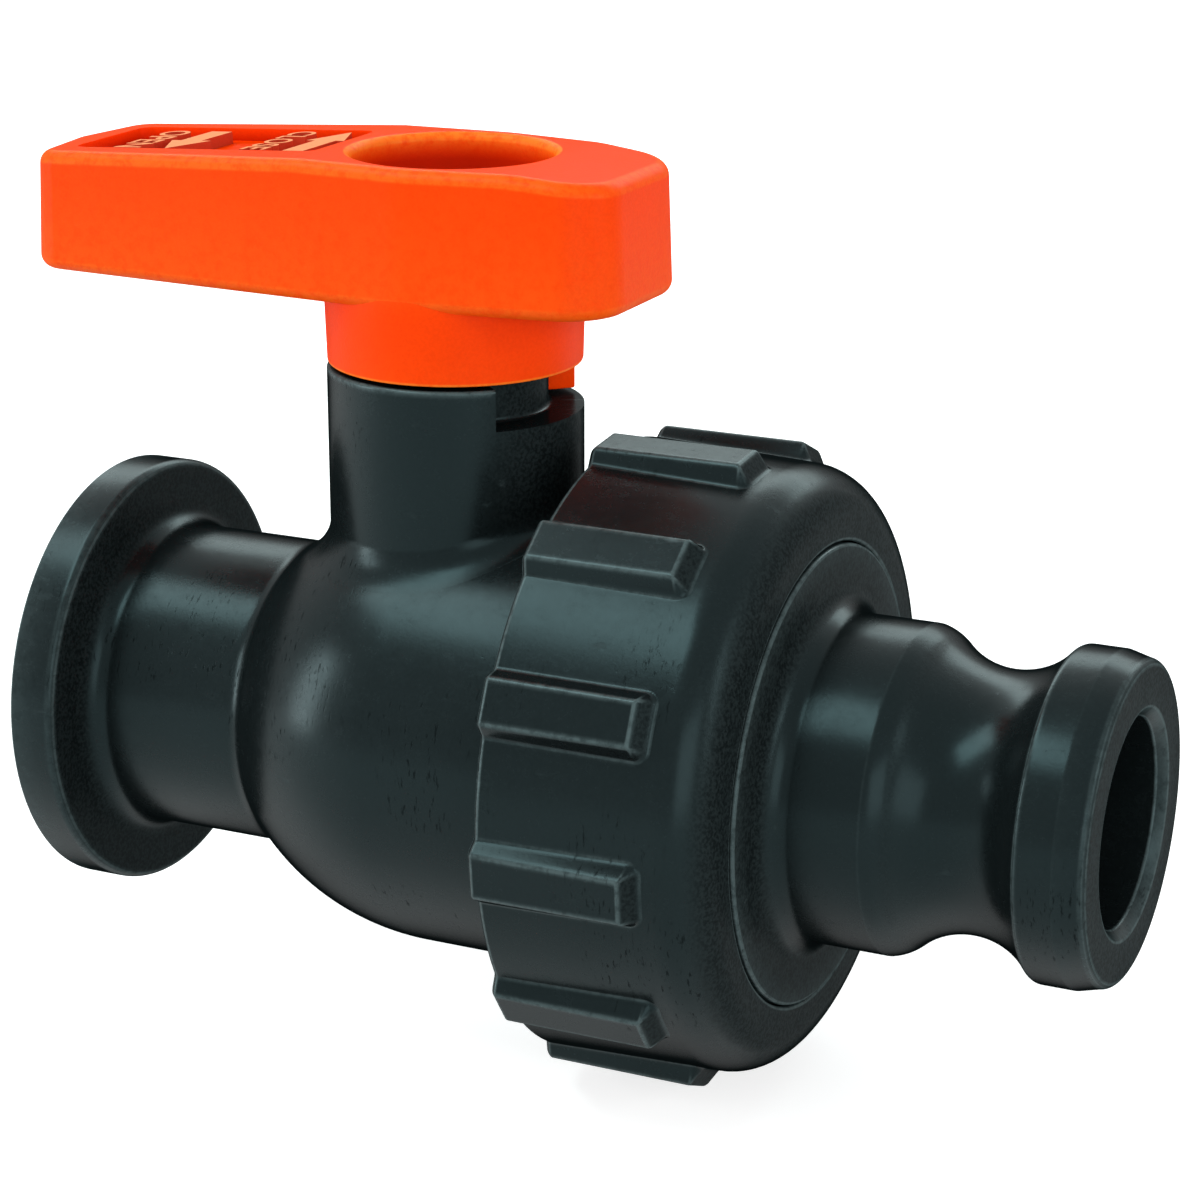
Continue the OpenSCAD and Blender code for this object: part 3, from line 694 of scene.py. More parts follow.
# Its second colour lightens edges and crests: rubbing, and painted highlight lines.
MOULDED_BLACK = Finish("moulded_black", (0.0048, 0.0070, 0.0074), (0.095, 0.132, 0.135), 0.25,
                       spread=0.12, specular=0.17, tint=(0.6, 0.95, 1.0), face_grain=1.0, scuffs=0.8,
                       nicks=0.6, calm=1.0, edge_wear_and_highlight=0.8, lay=(0.35, 1.0, 1.0))
INNER_BLACK = Finish("inner_black", (0.01, 0.012, 0.012), (0.06, 0.065, 0.065), 0.38,
                     specular=0.4, scuffs=0.4)
# Its second colour, a paler yellow-orange, paints the highlight along the lever's rounded edges as well as
# rubbing.
MOULDED_ORANGE = Finish("moulded_orange", (1.0, 0.05, 0.0006), (1.0, 0.28, 0.025), 0.38,
                        spread=0.06, specular=0.05, calm=0.85, hollow=0.9, grain_scale=3000.0,
                        grain_depth=0.03, scuffs=0.15, edge_wear_and_highlight=0.8, mottle=0.2)
# Paler orange for the raised arrows and words: a painted highlight on their tops.
HIGHLIT_SIGN_ORANGE = Finish("rubbed_orange", (1.0, 0.38, 0.18), (1.0, 0.5, 0.3), 0.42, spread=0.06,
                       specular=0.06, calm=1.0, hollow=0.9, grain_scale=3000.0, grain_depth=0.02,
                       mottle=0.2)
TURNED_WHITE = Finish("turned_white", (0.8, 0.8, 0.77), (0.9, 0.9, 0.88), 0.32, spread=0.06,
                      grain_depth=0.003, mottle=0.06, lay=(6.0, 1.0, 1.0))
SEAL_RUBBER = Finish("seal_rubber", (0.012, 0.012, 0.012), (0.05, 0.05, 0.05), 0.5,
                     specular=0.35, grain_depth=0.004)
INSERT_BRASS = Finish("insert_brass", (0.72, 0.5, 0.22), (0.85, 0.68, 0.4), 0.28, metallic=1.0,
                      spread=0.1, grain_depth=0.002, mottle=0.2)
BRIGHT_STEEL = Finish("bright_steel", (0.6, 0.6, 0.6), (0.78, 0.78, 0.78), 0.24, metallic=1.0,
                      spread=0.12, grain_depth=0.002, mottle=0.15, scuffs=0.5, lay=(1.0, 1.0, 5.0))


@dataclass
class Finishes:
    """The valve's materials, each built once.

    Attributes:
        made: Materials built so far, by name.
    """

    made: dict[str, bpy.types.Material] = field(default_factory=dict)

    def dress(self, piece: bpy.types.Object, finish: Finish, slot: str) -> None:
        """Give a piece its finish.

        Args:
            piece: Object to dress.
            finish: Its finish.
            slot: Name of the record's material slot; not used.
        """
        if finish.name not in self.made:
            self.made[finish.name] = finish.material()
        piece.data.materials.clear()
        piece.data.materials.append(self.made[finish.name])


# Sub-assemblies


@dataclass
class SubAssembly:
    """Pieces that ride on one body and share a material slot.

    The sizes of every sub-assembly are in mm and degrees.

    Attributes:
        body: Body that the pieces move with.
        slot: Their slot in the record.
        finish: Their finish.
    """

    body: str = "body"
    slot: str = "black_plastic"
    finish: Finish = MOULDED_BLACK

    def finish_of(self, piece: bpy.types.Object) -> Finish:
        """Return the finish that a piece gets."""
        return self.finish

    def dress(self, pieces: Pieces, finishes: Finishes) -> None:
        """Finish the pieces, and place each on its body instead of its CAD node.

        Args:
            pieces: Pieces by the node that they stand for.
            finishes: The valve's materials.
        """
        for node, group in pieces.items():
            for piece in group:
                finishes.dress(piece, self.finish_of(piece), self.slot)
                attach(piece, self.body)
                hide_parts(node)
                log.info("%s: %d faces, for %s", piece.name, len(piece.data.polygons), node)


@dataclass
class Thread:
    """Helical relief shared by the body and the union nut.

    Attributes:
        pitch: Advance of one turn in mm.
        depth: Height of the thread in mm.
        start: Where it begins along the flow path, in mm.
        end: Where it ends, in mm.
        run_out: Length over which it fades at either end, in mm.
        rise: How fast its flanks rise with the phase.
        root: Share of that rise that is cut off for the root.
    """

    pitch: float = 3.175
    depth: float = 1.3
    start: float = 64.4
    end: float = 78.4
    run_out: float = 1.6
    rise: float = 3.0
    root: float = 0.25

    def wave(self, x: np.ndarray, turn: np.ndarray) -> np.ndarray:
        """Return 1 on the crests and 0 in the roots, for a right-hand thread."""
        phase = np.mod(x / self.pitch - turn / (2 * math.pi), 1.0)
        return np.clip((0.5 - np.abs(phase - 0.5)) * self.rise - self.root, 0.0, 1.0)

    def fade(self, x: np.ndarray, end: float) -> np.ndarray:
        """Return 1 along the thread, falling to 0 at its ends."""
        return np.clip(np.minimum(x - self.start, end - x) / self.run_out, 0.0, 1.0)


@dataclass
class ValveBody(SubAssembly):
    """Flange, tube, domed housing, thread land and stem boss."""

    port_r: float = 12.7
    flange_r: float = 25.2
    flange_t: float = 5.5
    flange_edge: float = 1.0
    flange_fillet: float = 2.8
    tube_r: float = 17.75
    dome_x: float = 46.0
    dome_r: float = 30.5
    dome_fillet: float = 3.2
    barrel_r: float = 25.8
    thread_x: float = 64.61
    thread_r: float = 30.4
    end_x: float = 78.01
    carrier_bore_r: float = 22.5
    step_x: float = 55.01
    cavity_x: float = 33.29
    cavity_r: float = 19.6
    pocket_r: float = 17.1
    seat_back: float = 16.414
    cushion_r: float = 14.95
    cushion_half: float = 0.99
    cushion_depth: float = 1.6
    face_seal_r: float = 26.2
    face_seal_half: float = 1.1
    face_seal_depth: float = 1.95
    boss_r: float = 14.3
    boss_top: float = 41.7
    boss_edge: float = 0.35
    boss_fillet: float = 2.5
    stem_bore_r: float = 6.45
    pocket_top: float = 23.2
    shoulder_bore_r: float = 8.9
    collar_r: float = 10.3
    notch_floor: float = 37.1
    notch_start: float = -45.0
    notch_end: float = 70.0
    notch_corner: float = 0.6
    land_chamfer: float = 1.0
    root_z: float = 23.6
    shaft_z: tuple[float, ...] = (30.0, 34.0, 40.8)
    skirt: float = 0.5
    skirt_sink: float = 0.6
    skirt_rise: float = -0.02
    top_ring: float = 0.8
    bore_lip: float = 0.5
    boss_steps: int = 160
    drill_z: float = 15.0
    rounding: float = 0.6
    steps: int = 224
    land_skin: float = 0.6
    land_step: float = 0.3
    plain_step: float = 6.0
    run_past: float = 1.2
    thread: Thread = field(default_factory=Thread)

    def outside(self) -> Outline:
        """Lay the outline of the outside, from the flange's face to the end face.

        Returns:
            Points along the flow path.
        """
        mid = self.barrel_r - self.dome_r
        fillet_r = self.tube_r + self.dome_fillet
        fillet_x = self.dome_x - math.sqrt((self.dome_r + self.dome_fillet) ** 2 - (fillet_r - mid) ** 2)
        meet = math.degrees(math.atan2(fillet_r - mid, self.dome_x - fillet_x))
        edge, foot, ramp = self.flange_edge, self.flange_fillet, self.land_chamfer
        return ([(0.0, self.port_r), (0.0, self.flange_r)]
                + arc(self.flange_t - edge, self.flange_r - edge, edge, 90, 0, 12)
                + arc(self.flange_t + foot, self.tube_r + foot, foot, 180, 270)
                + arc(fillet_x, fillet_r, self.dome_fillet, 270, 360 - meet)
                + arc(self.dome_x, mid, self.dome_r, 180 - meet, 90, 64)
                + [(self.thread_x, self.barrel_r), (self.thread_x, self.thread_r - ramp),
                   (self.thread_x + ramp, self.thread_r), (self.end_x - ramp, self.thread_r),
                   (self.end_x, self.thread_r - ramp)])

    def inside(self) -> Outline:
        """Lay the outline of the seal groove, carrier bore, cavity, seat pocket and port.

        Returns:
            Points from the end face back to the flange's face.
        """
        seat_x = BALL_X - self.seat_back
        groove_x = self.end_x - self.face_seal_depth
        low, high = self.face_seal_r - self.face_seal_half, self.face_seal_r + self.face_seal_half
        near, far = self.cushion_r - self.cushion_half, self.cushion_r + self.cushion_half
        return [(self.end_x, high), (groove_x, high), (groove_x, low), (self.end_x, low),
                (self.end_x, self.carrier_bore_r), (self.step_x, self.carrier_bore_r),
                (self.step_x, self.cavity_r), (self.cavity_x, self.cavity_r),
                (self.cavity_x, self.pocket_r), (seat_x, self.pocket_r), (seat_x, far),
                (seat_x - self.cushion_depth, far), (seat_x - self.cushion_depth, near),
                (seat_x, near), (seat_x, self.port_r)]

    def housing_height(self, x: np.ndarray, y: np.ndarray) -> np.ndarray:
        """Height of the dome and barrel over the flow path.

        Args:
            x: Places along the flow path in mm.
            y: Places across it in mm.

        Returns:
            Heights in mm.
        """
        back = np.minimum(x - self.dome_x, 0.0)
        reach = self.barrel_r - self.dome_r + np.sqrt(self.dome_r ** 2 - back ** 2)
        return np.sqrt(reach ** 2 - y ** 2)

    def boss_ring(self, out: float, height: float, follow: bool) -> np.ndarray:
        """Lay one ring of the boss.

        Args:
            out: Ring's radius in mm.
            height: Its height in mm, over the housing where it follows that.
            follow: Whether it follows the housing or is level.

        Returns:
            One row a point.
        """
        turns = np.linspace(0.0, 2 * math.pi, self.boss_steps, endpoint=False)
        x, y = BALL_X + out * np.cos(turns), out * np.sin(turns)
        z = self.housing_height(x, y) + height if follow else np.full_like(turns, height)
        return np.column_stack([x, y, z])

    def boss(self) -> bpy.types.Object:
        """Build the boss with a fillet that follows the housing.

        Returns:
            The closed boss, before it is bored.
        """
        foot = self.boss_r + self.boss_fillet
        on_housing = [(foot + self.skirt, -self.skirt_sink), (foot + self.skirt / 2, self.skirt_rise)]
        for step in np.radians(np.linspace(90.0, 0.0, 13)):
            on_housing.append((self.boss_r + self.boss_fillet * (1 - math.cos(step)),
                               self.boss_fillet * (1 - math.sin(step))))
        level = [(self.boss_r, z) for z in self.shaft_z]
        level += [(r, z) for z, r in arc(self.boss_top - self.boss_edge, self.boss_r - self.boss_edge,
                                         self.boss_edge, 90, 0, 5)]
        level += [(self.boss_r - self.top_ring, self.boss_top), (0.0, self.boss_top)]
        rings = [self.boss_ring(0.0, self.root_z, follow=False)]
        rings += [self.boss_ring(*row, follow=True) for row in on_housing]
        rings += [self.boss_ring(*row, follow=False) for row in level]
        faces = ring_faces(len(rings), self.boss_steps)
        return tidied(piece_from("stem_boss", np.vstack(rings), faces), merge=True)

    def stem_drill(self) -> bpy.types.Object:
        """Build the tool that bores the stem's way.

        Returns:
            The closed tool.
        """
        lip, top = self.bore_lip, self.boss_top
        wide = self.stem_bore_r + lip
        return turned("drill", np.array([
            (self.drill_z, 0.0), (self.drill_z, self.shoulder_bore_r),
            (self.pocket_top, self.shoulder_bore_r), (self.pocket_top, self.stem_bore_r),
            (top - lip, self.stem_bore_r), (top, wide), (top + 1, wide), (top + 1, 0.0)]),
            Axis.STEM, angles=96)

    def notch_tool(self) -> bpy.types.Object:
        """Build the tool that cuts the stop notch, with a round inner corner.

        Returns:
            The closed tool.
        """
        corner = self.notch_corner
        section = (arc(self.collar_r + corner, self.notch_floor + corner, corner, 180, 270, 6)
                   + [(2 * self.boss_r, self.notch_floor), (2 * self.boss_r, self.boss_top + 2),
                      (self.collar_r, self.boss_top + 2)])
        turns = np.radians(np.linspace(self.notch_start, self.notch_end, 49))
        points = [(BALL_X + r * math.cos(a), r * math.sin(a), z) for a in turns for r, z in section]
        size = len(section)
        caps = [tuple(range(size)), tuple(range((len(turns) - 1) * size, len(turns) * size))]
        return tidied(piece_from("notch_tool", np.array(points), ring_faces(len(turns), size) + caps))

    def relief(self, x: np.ndarray, r: np.ndarray, turn: np.ndarray) -> np.ndarray:
        """Return the thread's relief on the outside of the thread land."""
        on_land = (r > self.thread_r - self.land_skin) * self.thread.fade(x, self.end_x + self.run_past)
        return -self.thread.depth * on_land * (1.0 - self.thread.wave(x, turn))

    def spacing(self, x: float, r: float) -> float:
        """Return the largest gap in mm at a place on the outline, small on the thread land."""
        on_land = r > self.thread_r - self.land_skin - 0.1 and x > self.thread_x
        return self.land_step if on_land else self.plain_step

    def build(self) -> Pieces:
        """Build the housing and its boss.

        Returns:
            The two pieces.
        """
        outline = refined(softened(self.outside() + self.inside(), self.rounding), self.spacing)
        housing = turned("valve_body", outline, angles=self.steps, relief=self.relief)
        mark_wear_and_highlight(housing)
        cut(housing, self.stem_drill())
        boss = self.boss()
        cut(boss, self.stem_drill())
        cut(boss, self.notch_tool())
        tidied(boss, sharp=32.0)
        mark_wear_and_highlight(boss, low=900.0, high=2600.0)
        steadied(boss)
        return {"valve_body": [housing, boss]}


@dataclass
class Handle(SubAssembly):
    """Lever, tail, hub, stop lug, screw well and the recess with its signs."""

    body: str = "rotor"
    slot: str = "orange_plastic"
    finish: Finish = MOULDED_ORANGE
    hub_r: float = 14.4
    hub_z: float = 42.2
    hub_draft: float = 0.2
    hub_soft: float = 0.9
    hub_core: float = 0.01
    hub_sink: float = 2.0
    lever_z: float = 50.1
    top_z: float = 65.4
    lever_len: float = 49.6
    tip_half: float = 11.8
    tip_corner: float = 4.0
    tip_bulge: float = 1.3
    tip_drop: float = 2.0
    tail_len: float = 23.3
    tail_half: float = 12.1
    tail_corner: float = 7.0
    tail_drop: float = 0.8
    edge: float = 1.5
    draft: float = 0.4
    well_r: float = 11.2
    well_edge: float = 1.0
    well_dusk: float = 2.0
    well_z: float = 54.3
    well_corner: float = 0.5
    socket_side: float = 9.1
    socket_top: float = 50.3
    socket_corner: float = 0.3
    screw_hole_r: float = 2.8
    sign_from: float = 13.5
    sign_len: float = 31.0
    sign_half: float = 7.4
    sign_corner: float = 1.5
    sign_depth: float = 1.4
    sign_sink: float = 0.1
    sign_under: float = 0.03
    letter_weight: float = 0.012
    side_step: float = 1.5
    turn_step: float = 2.5
    lug_in: float = 10.6
    lug_out: float = 14.1
    lug_z: float = 37.5
    lug_start: float = 45.4
    lug_end: float = 69.6
    lug_edge: float = 0.25
    cell_count: int = 3
    cell_from: float = -2.1
    cell_to: float = 28.3
    cell_rib: float = 1.8
    cell_wall: float = 3.0
    cell_corner: float = 2.5
    cell_top: float = 60.0

    @property
    def flat_r(self) -> float:
        """Radius of the level disc round the well."""
        return self.hub_r - self.draft - self.edge

    @property
    def slope(self) -> float:
        """Fall of the lever's top for each mm towards the tip."""
        return self.tip_drop / (self.lever_len - self.draft - self.edge - self.flat_r)

    def top(self, x: np.ndarray) -> np.ndarray:
        """Height of the handle's top.

        Args:
            x: Places along the flow path in mm.

        Returns:
            Heights in mm.
        """
        tail_run = self.tail_len - self.draft - self.edge - self.flat_r
        fore = np.maximum(BALL_X - self.flat_r - x, 0.0) * self.slope
        aft = np.maximum(x - BALL_X - self.flat_r, 0.0) * self.tail_drop / tail_run
        return self.top_z - fore - aft

    def stations(self) -> np.ndarray:
        """Walk half round the plan outline, from the tail's middle to the tip's middle.

        Returns:
            Rows of centre x, centre y, radius, normal x and normal y.
        """
        tip_x = BALL_X - self.lever_len + self.tip_corner
        tail_x = BALL_X + self.tail_len - self.tail_corner
        posts = np.array([
            (tail_x, self.tail_half - self.tail_corner, self.tail_corner),
            (BALL_X, 0.0, self.hub_r),
            (tip_x + self.tip_bulge, self.tip_half - self.tip_corner, self.tip_corner),
            (tip_x, 0.0, self.tip_corner)])
        rows = [(tail_x, 0.0, self.tail_corner, 1.0, 0.0)]
        before = posts[0]
        for step in np.linspace(0.0, 180.0, 361):
            normal = np.array([math.cos(math.radians(step)), math.sin(math.radians(step))])
            best = posts[int(np.argmax(posts[:, :2] @ normal + posts[:, 2]))]
            gap = float(np.hypot(*(best[:2] - before[:2])))
            if gap > 0.0:
                parts = max(2, math.ceil(gap / self.side_step))
                rows += [(*(before + (best - before) * k / parts), *normal) for k in range(parts)]
            elif step % self.turn_step == 0 and step > 0:
                rows.append((*best, *normal))
            before = best
        rows[-1] = (tip_x, 0.0, self.tip_corner, -1.0, 0.0)
        return np.array(rows)

    def blade(self) -> bpy.types.Object:
        """Build the lever and tail as one slab with round edges.

        Returns:
            The closed slab.
        """
        half = self.stations()
        mirrored = half[-2:0:-1] * np.array([1.0, -1.0, 1.0, 1.0, -1.0])
        around = np.vstack([half, mirrored])
        quarter = np.radians(np.linspace(0.0, 90.0, 9))
        near, far = 0.15, 0.6
        levels = [(self.edge + far, 0.0, False), (self.edge + near, 0.0, False)]
        levels += [(self.edge * (1 - math.sin(a)), self.edge * (1 - math.cos(a)), False) for a in quarter]
        levels += [(self.draft + self.edge * (1 - math.cos(a)), -self.edge * (1 - math.sin(a)), True)
                   for a in quarter]
        levels += [(self.draft + self.edge + near, 0.0, True), (self.draft + self.edge + far, 0.0, True)]
        rings = []
        for inset, rise, on_top in levels:
            plan = around[:, :2] + (around[:, 2:3] - inset) * around[:, 3:]
            z = self.top(plan[:, 0]) + rise if on_top else np.full(len(plan), self.lever_z + rise)
            rings.append(np.column_stack([plan, z]))
        cols, last = len(around), len(half) - 1
        faces = ring_faces(len(rings), cols)
        for base, turn in ((0, -1), ((len(rings) - 1) * cols, 1)):
            ladder = [(base, base + 1, base + cols - 1)]
            ladder += [(base + j, base + j + 1, base + cols - j - 1, base + cols - j)
                       for j in range(1, last - 1)]
            ladder.append((base + last - 1, base + last, base + last + 1))
            faces += [f[::turn] for f in ladder]
        return tidied(piece_from("handle", np.vstack(rings), faces))

    def well_tool(self) -> bpy.types.Object:
        """Build the tool for the well, with a round rim and a round floor corner.

        Returns:
            The closed tool.
        """
        rim, corner = self.well_r + self.well_edge, self.well_corner
        outline: Outline = [(self.well_z, 0.0), (self.well_z, self.well_r - corner)]
        outline += arc(self.well_z + corner, self.well_r - corner, corner, 180, 90, 5)[1:]
        outline += [(self.top_z - self.well_edge - self.well_dusk, self.well_r)]
        outline += arc(self.top_z - self.well_edge, rim, self.well_edge, 270, 360, 9)
        outline += [(self.top_z + 0.002, rim + 0.1), (self.top_z + 2, rim + 0.1), (self.top_z + 2, 0.0)]
        return turned("well_tool", np.array(outline), Axis.STEM, angles=128)

    def on_top(self, piece: bpy.types.Object) -> bpy.types.Object:
        """Tilt a level piece so that height 0 lies on the lever's sloping top.

        Args:
            piece: Piece built level.

        Returns:
            The same piece, tilted.
        """
        hinge = Vector(((BALL_X - self.flat_r) * MM, 0.0, self.top_z * MM))
        tilt = Matrix.Rotation(-math.atan(self.slope), 4, "Y")
        shift = Matrix.Translation(Vector((-hinge.x, 0.0, 0.0)))
        piece.data.transform(Matrix.Translation(hinge) @ tilt @ shift)
        return piece

    def sign_tool(self) -> bpy.types.Object:
        """Build the tool for the sign recess, parallel to the top.

        Returns:
            The closed tool.
        """
        high = BALL_X - self.sign_from
        plan = round_box(high - self.sign_len, high, self.sign_half, self.sign_corner)
        return self.on_top(prism("sign_tool", plan, -self.sign_depth, 2.0))

    def word(self, sign: Sign, x: float, y: float, height: float, width: float) -> bpy.types.Object:
        """Build a raised word that is read from the lever's tip.

        Args:
            sign: Word to build.
            x: Foot of its letters in mm.
            y: Where its first letter starts in mm.
            height: Height of its letters in mm.
            width: Length of the word in mm.

        Returns:
            The raised word.
        """
        font = bpy.data.curves.new(sign.value, "FONT")
        font.body = sign.value
        font.size = 1.0
        font.offset = self.letter_weight
        font.extrude = 0.5
        font.resolution_u = 5
        holder = bpy.data.objects.new(sign.value, font)
        bpy.context.scene.collection.objects.link(holder)
        graph = bpy.context.evaluated_depsgraph_get()
        mesh = bpy.data.meshes.new_from_object(holder.evaluated_get(graph))
        bpy.data.objects.remove(holder)
        points = np.array([v.co[:] for v in mesh.vertices])
        low, high = points.min(axis=0), points.max(axis=0)
        points = (points - low) / (high - low)
        depth = self.sign_depth + self.sign_sink
        placed = np.column_stack([x + points[:, 1] * height, y - points[:, 0] * width,
                                  points[:, 2] * depth - depth - self.sign_under])
        piece = piece_from("sign_" + sign.value.lower(), placed, [p.vertices[:] for p in mesh.polygons])
        bpy.data.meshes.remove(mesh)
        return self.on_top(tidied(piece, sharp=30.0, merge=True))

    def arrow(self, name: str, points: Outline) -> bpy.types.Object:
        """Build a raised arrow from its plan points."""
        return self.on_top(prism(name, points, -self.sign_depth - self.sign_sink, -self.sign_under))

    def hub(self) -> bpy.types.Object:
        """Build the hub below the lever.

        Returns:
            The closed hub.
        """
        foot, core, head = self.hub_r - self.hub_draft, self.hub_core, self.lever_z + self.hub_sink
        outline = softened([(self.hub_z, core), (self.hub_z, foot), (self.lever_z - 1, self.hub_r),
                            (head, self.hub_r - 0.03), (head, core)], self.hub_soft)
        outline[:, 1] = np.maximum(outline[:, 1], core)
        return turned("handle_hub", outline, Axis.STEM, angles=160)

    def lug(self) -> bpy.types.Object:
        """Build the stop lug under the hub.

        Returns:
            The closed lug.
        """
        turns = np.radians(np.linspace(self.lug_start, self.lug_end, 13))
        plan = ([(BALL_X + self.lug_out * math.cos(a), self.lug_out * math.sin(a)) for a in turns]
                + [(BALL_X + self.lug_in * math.cos(a), self.lug_in * math.sin(a)) for a in turns[::-1]])
        piece = prism("stop_lug", plan, self.lug_z, self.hub_z + 1.0)
        change = piece.modifiers.new("edge", "BEVEL")
        change.width = self.lug_edge * MM
        change.segments = 3
        change.limit_method = "ANGLE"
        baked(piece)
        return tidied(piece)

    def cell_tools(self) -> list[bpy.types.Object]:
        """Build the tools that hollow the lever from below, tapered in plan like the lever.

        Returns:
            One closed tool for each cell.
        """
        tools = []
        pitch = (self.cell_to - self.cell_from + self.cell_rib) / self.cell_count
        for k in range(self.cell_count):
            start = self.cell_from + k * pitch
            middle = start + (pitch - self.cell_rib) / 2
            tool = prism("cell_tool", [
                (x, y * self.cell_half(x) / self.cell_half(middle))
                for x, y in round_box(start, start + pitch - self.cell_rib,
                                      self.cell_half(middle), self.cell_corner)],
                self.lever_z - 1, self.cell_top)
            tools.append(tool)
        return tools

    def cell_half(self, x: float) -> float:
        """Half width of a cell at a place along the lever."""
        share = (x - BALL_X + self.lever_len) / self.lever_len
        return self.tip_half + share * (self.hub_r - self.tip_half) - self.draft - self.cell_wall

    def socket_tools(self) -> list[bpy.types.Object]:
        """Build the tools for the stem's square and the screw's hole.

        Returns:
            The two closed tools.
        """
        half = self.socket_side / 2
        plan = round_box(BALL_X - half, BALL_X + half, half, self.socket_corner, steps=3)
        hole = turned("hole_tool", np.array([(self.hub_z, 0.0), (self.hub_z, self.screw_hole_r),
                                             (self.well_z + 1, self.screw_hole_r),
                                             (self.well_z + 1, 0.0)]), Axis.STEM, angles=48)
        return [prism("square_tool", plan, self.hub_z - 1, self.socket_top), hole]

    def mark_hollow(self, piece: bpy.types.Object) -> None:
        """Store which points lie inside the well or the sign recess, where the finish paints shade.

        The lightening of the well's rim, partly a painted highlight, stays on its rounded edge.

        Args:
            piece: The cut lever, an arrow or a word.
        """
        points = np.array([v.co[:] for v in piece.data.vertices]) / MM
        depth = self.top(points[:, 0]) - points[:, 2]
        away = np.hypot(points[:, 0] - BALL_X, points[:, 1])
        # Painted shade mask: rising with depth in the well, and full in the sign recess.
        in_well = (away < self.well_r + 0.1) * np.clip((depth - self.well_edge) / self.well_dusk, 0.0, 1.0)
        in_sign = ((np.abs(points[:, 1]) < self.sign_half + 0.1)
                   * (points[:, 0] < BALL_X - self.sign_from + 0.1)
                   * (depth > 0.01) * (depth < self.sign_depth + 0.3))
        store = piece.data.attributes.new("hollow", "FLOAT", "POINT")
        store.data.foreach_set("value", np.maximum(in_well, in_sign).astype(np.float32))
        # Level points round the well lose the painted edge highlight.
        level = (np.abs(depth) < 0.03) | (depth > self.well_edge + 0.05)
        rim_kept_plain = level & (away < self.well_r + self.well_edge + 0.3)
        wear_and_highlight = piece.data.attributes.get("wear_and_highlight")
        if wear_and_highlight is not None:
            for k in np.flatnonzero(rim_kept_plain):
                wear_and_highlight.data[int(k)].value = 0.0

    def finish_of(self, piece: bpy.types.Object) -> Finish:
        """Return the finish that a piece gets, which is a paler one on the signs, a painted highlight on
        their tops.
        """
        return HIGHLIT_SIGN_ORANGE if piece.name.startswith("sign_") else self.finish

    def build(self) -> Pieces:
        """Build the handle's pieces.

        Returns:
            Lever, hub, lug, arrows and words.
        """
        blade = self.blade()
        for tool in (self.well_tool(), self.sign_tool(), *self.socket_tools(), *self.cell_tools()):
            cut(blade, tool)
        tidied(blade, sharp=32.0)
        # Broad edge lightening on the lever: a painted highlight along its rounded edges, with some
        # rubbing.
        mark_wear_and_highlight(blade, low=350.0, high=900.0)
        self.mark_hollow(blade)
        steadied(blade)
        hub = self.hub()
        for tool in self.socket_tools():
            cut(hub, tool)
        tidied(hub, sharp=32.0)
        mark_wear_and_highlight(hub)
        steadied(hub)
        arrow_open = [(10.6, 5.2), (10.6, -1.4), (9.4, -1.4), (12.0, -7.1), (14.5, -1.4), (13.3, -1.4),
                      (13.3, 5.2)]
        arrow_close = [(27.1, -7.0), (29.7, -7.0), (29.7, 0.2), (30.8, 0.2), (28.4, 6.2), (26.0, 0.2),
                       (27.1, 0.2)]
        signs = [self.arrow("sign_arrow_open", arrow_open), self.arrow("sign_arrow_close", arrow_close),
                 self.word(Sign.OPEN, x=5.0, y=5.2, height=3.5, width=12.0),
                 self.word(Sign.CLOSE, x=21.3, y=6.2, height=3.2, width=12.8)]
        for sign in signs:
            self.mark_hollow(sign)
        return {"handle": [blade, hub, self.lug(), *signs]}


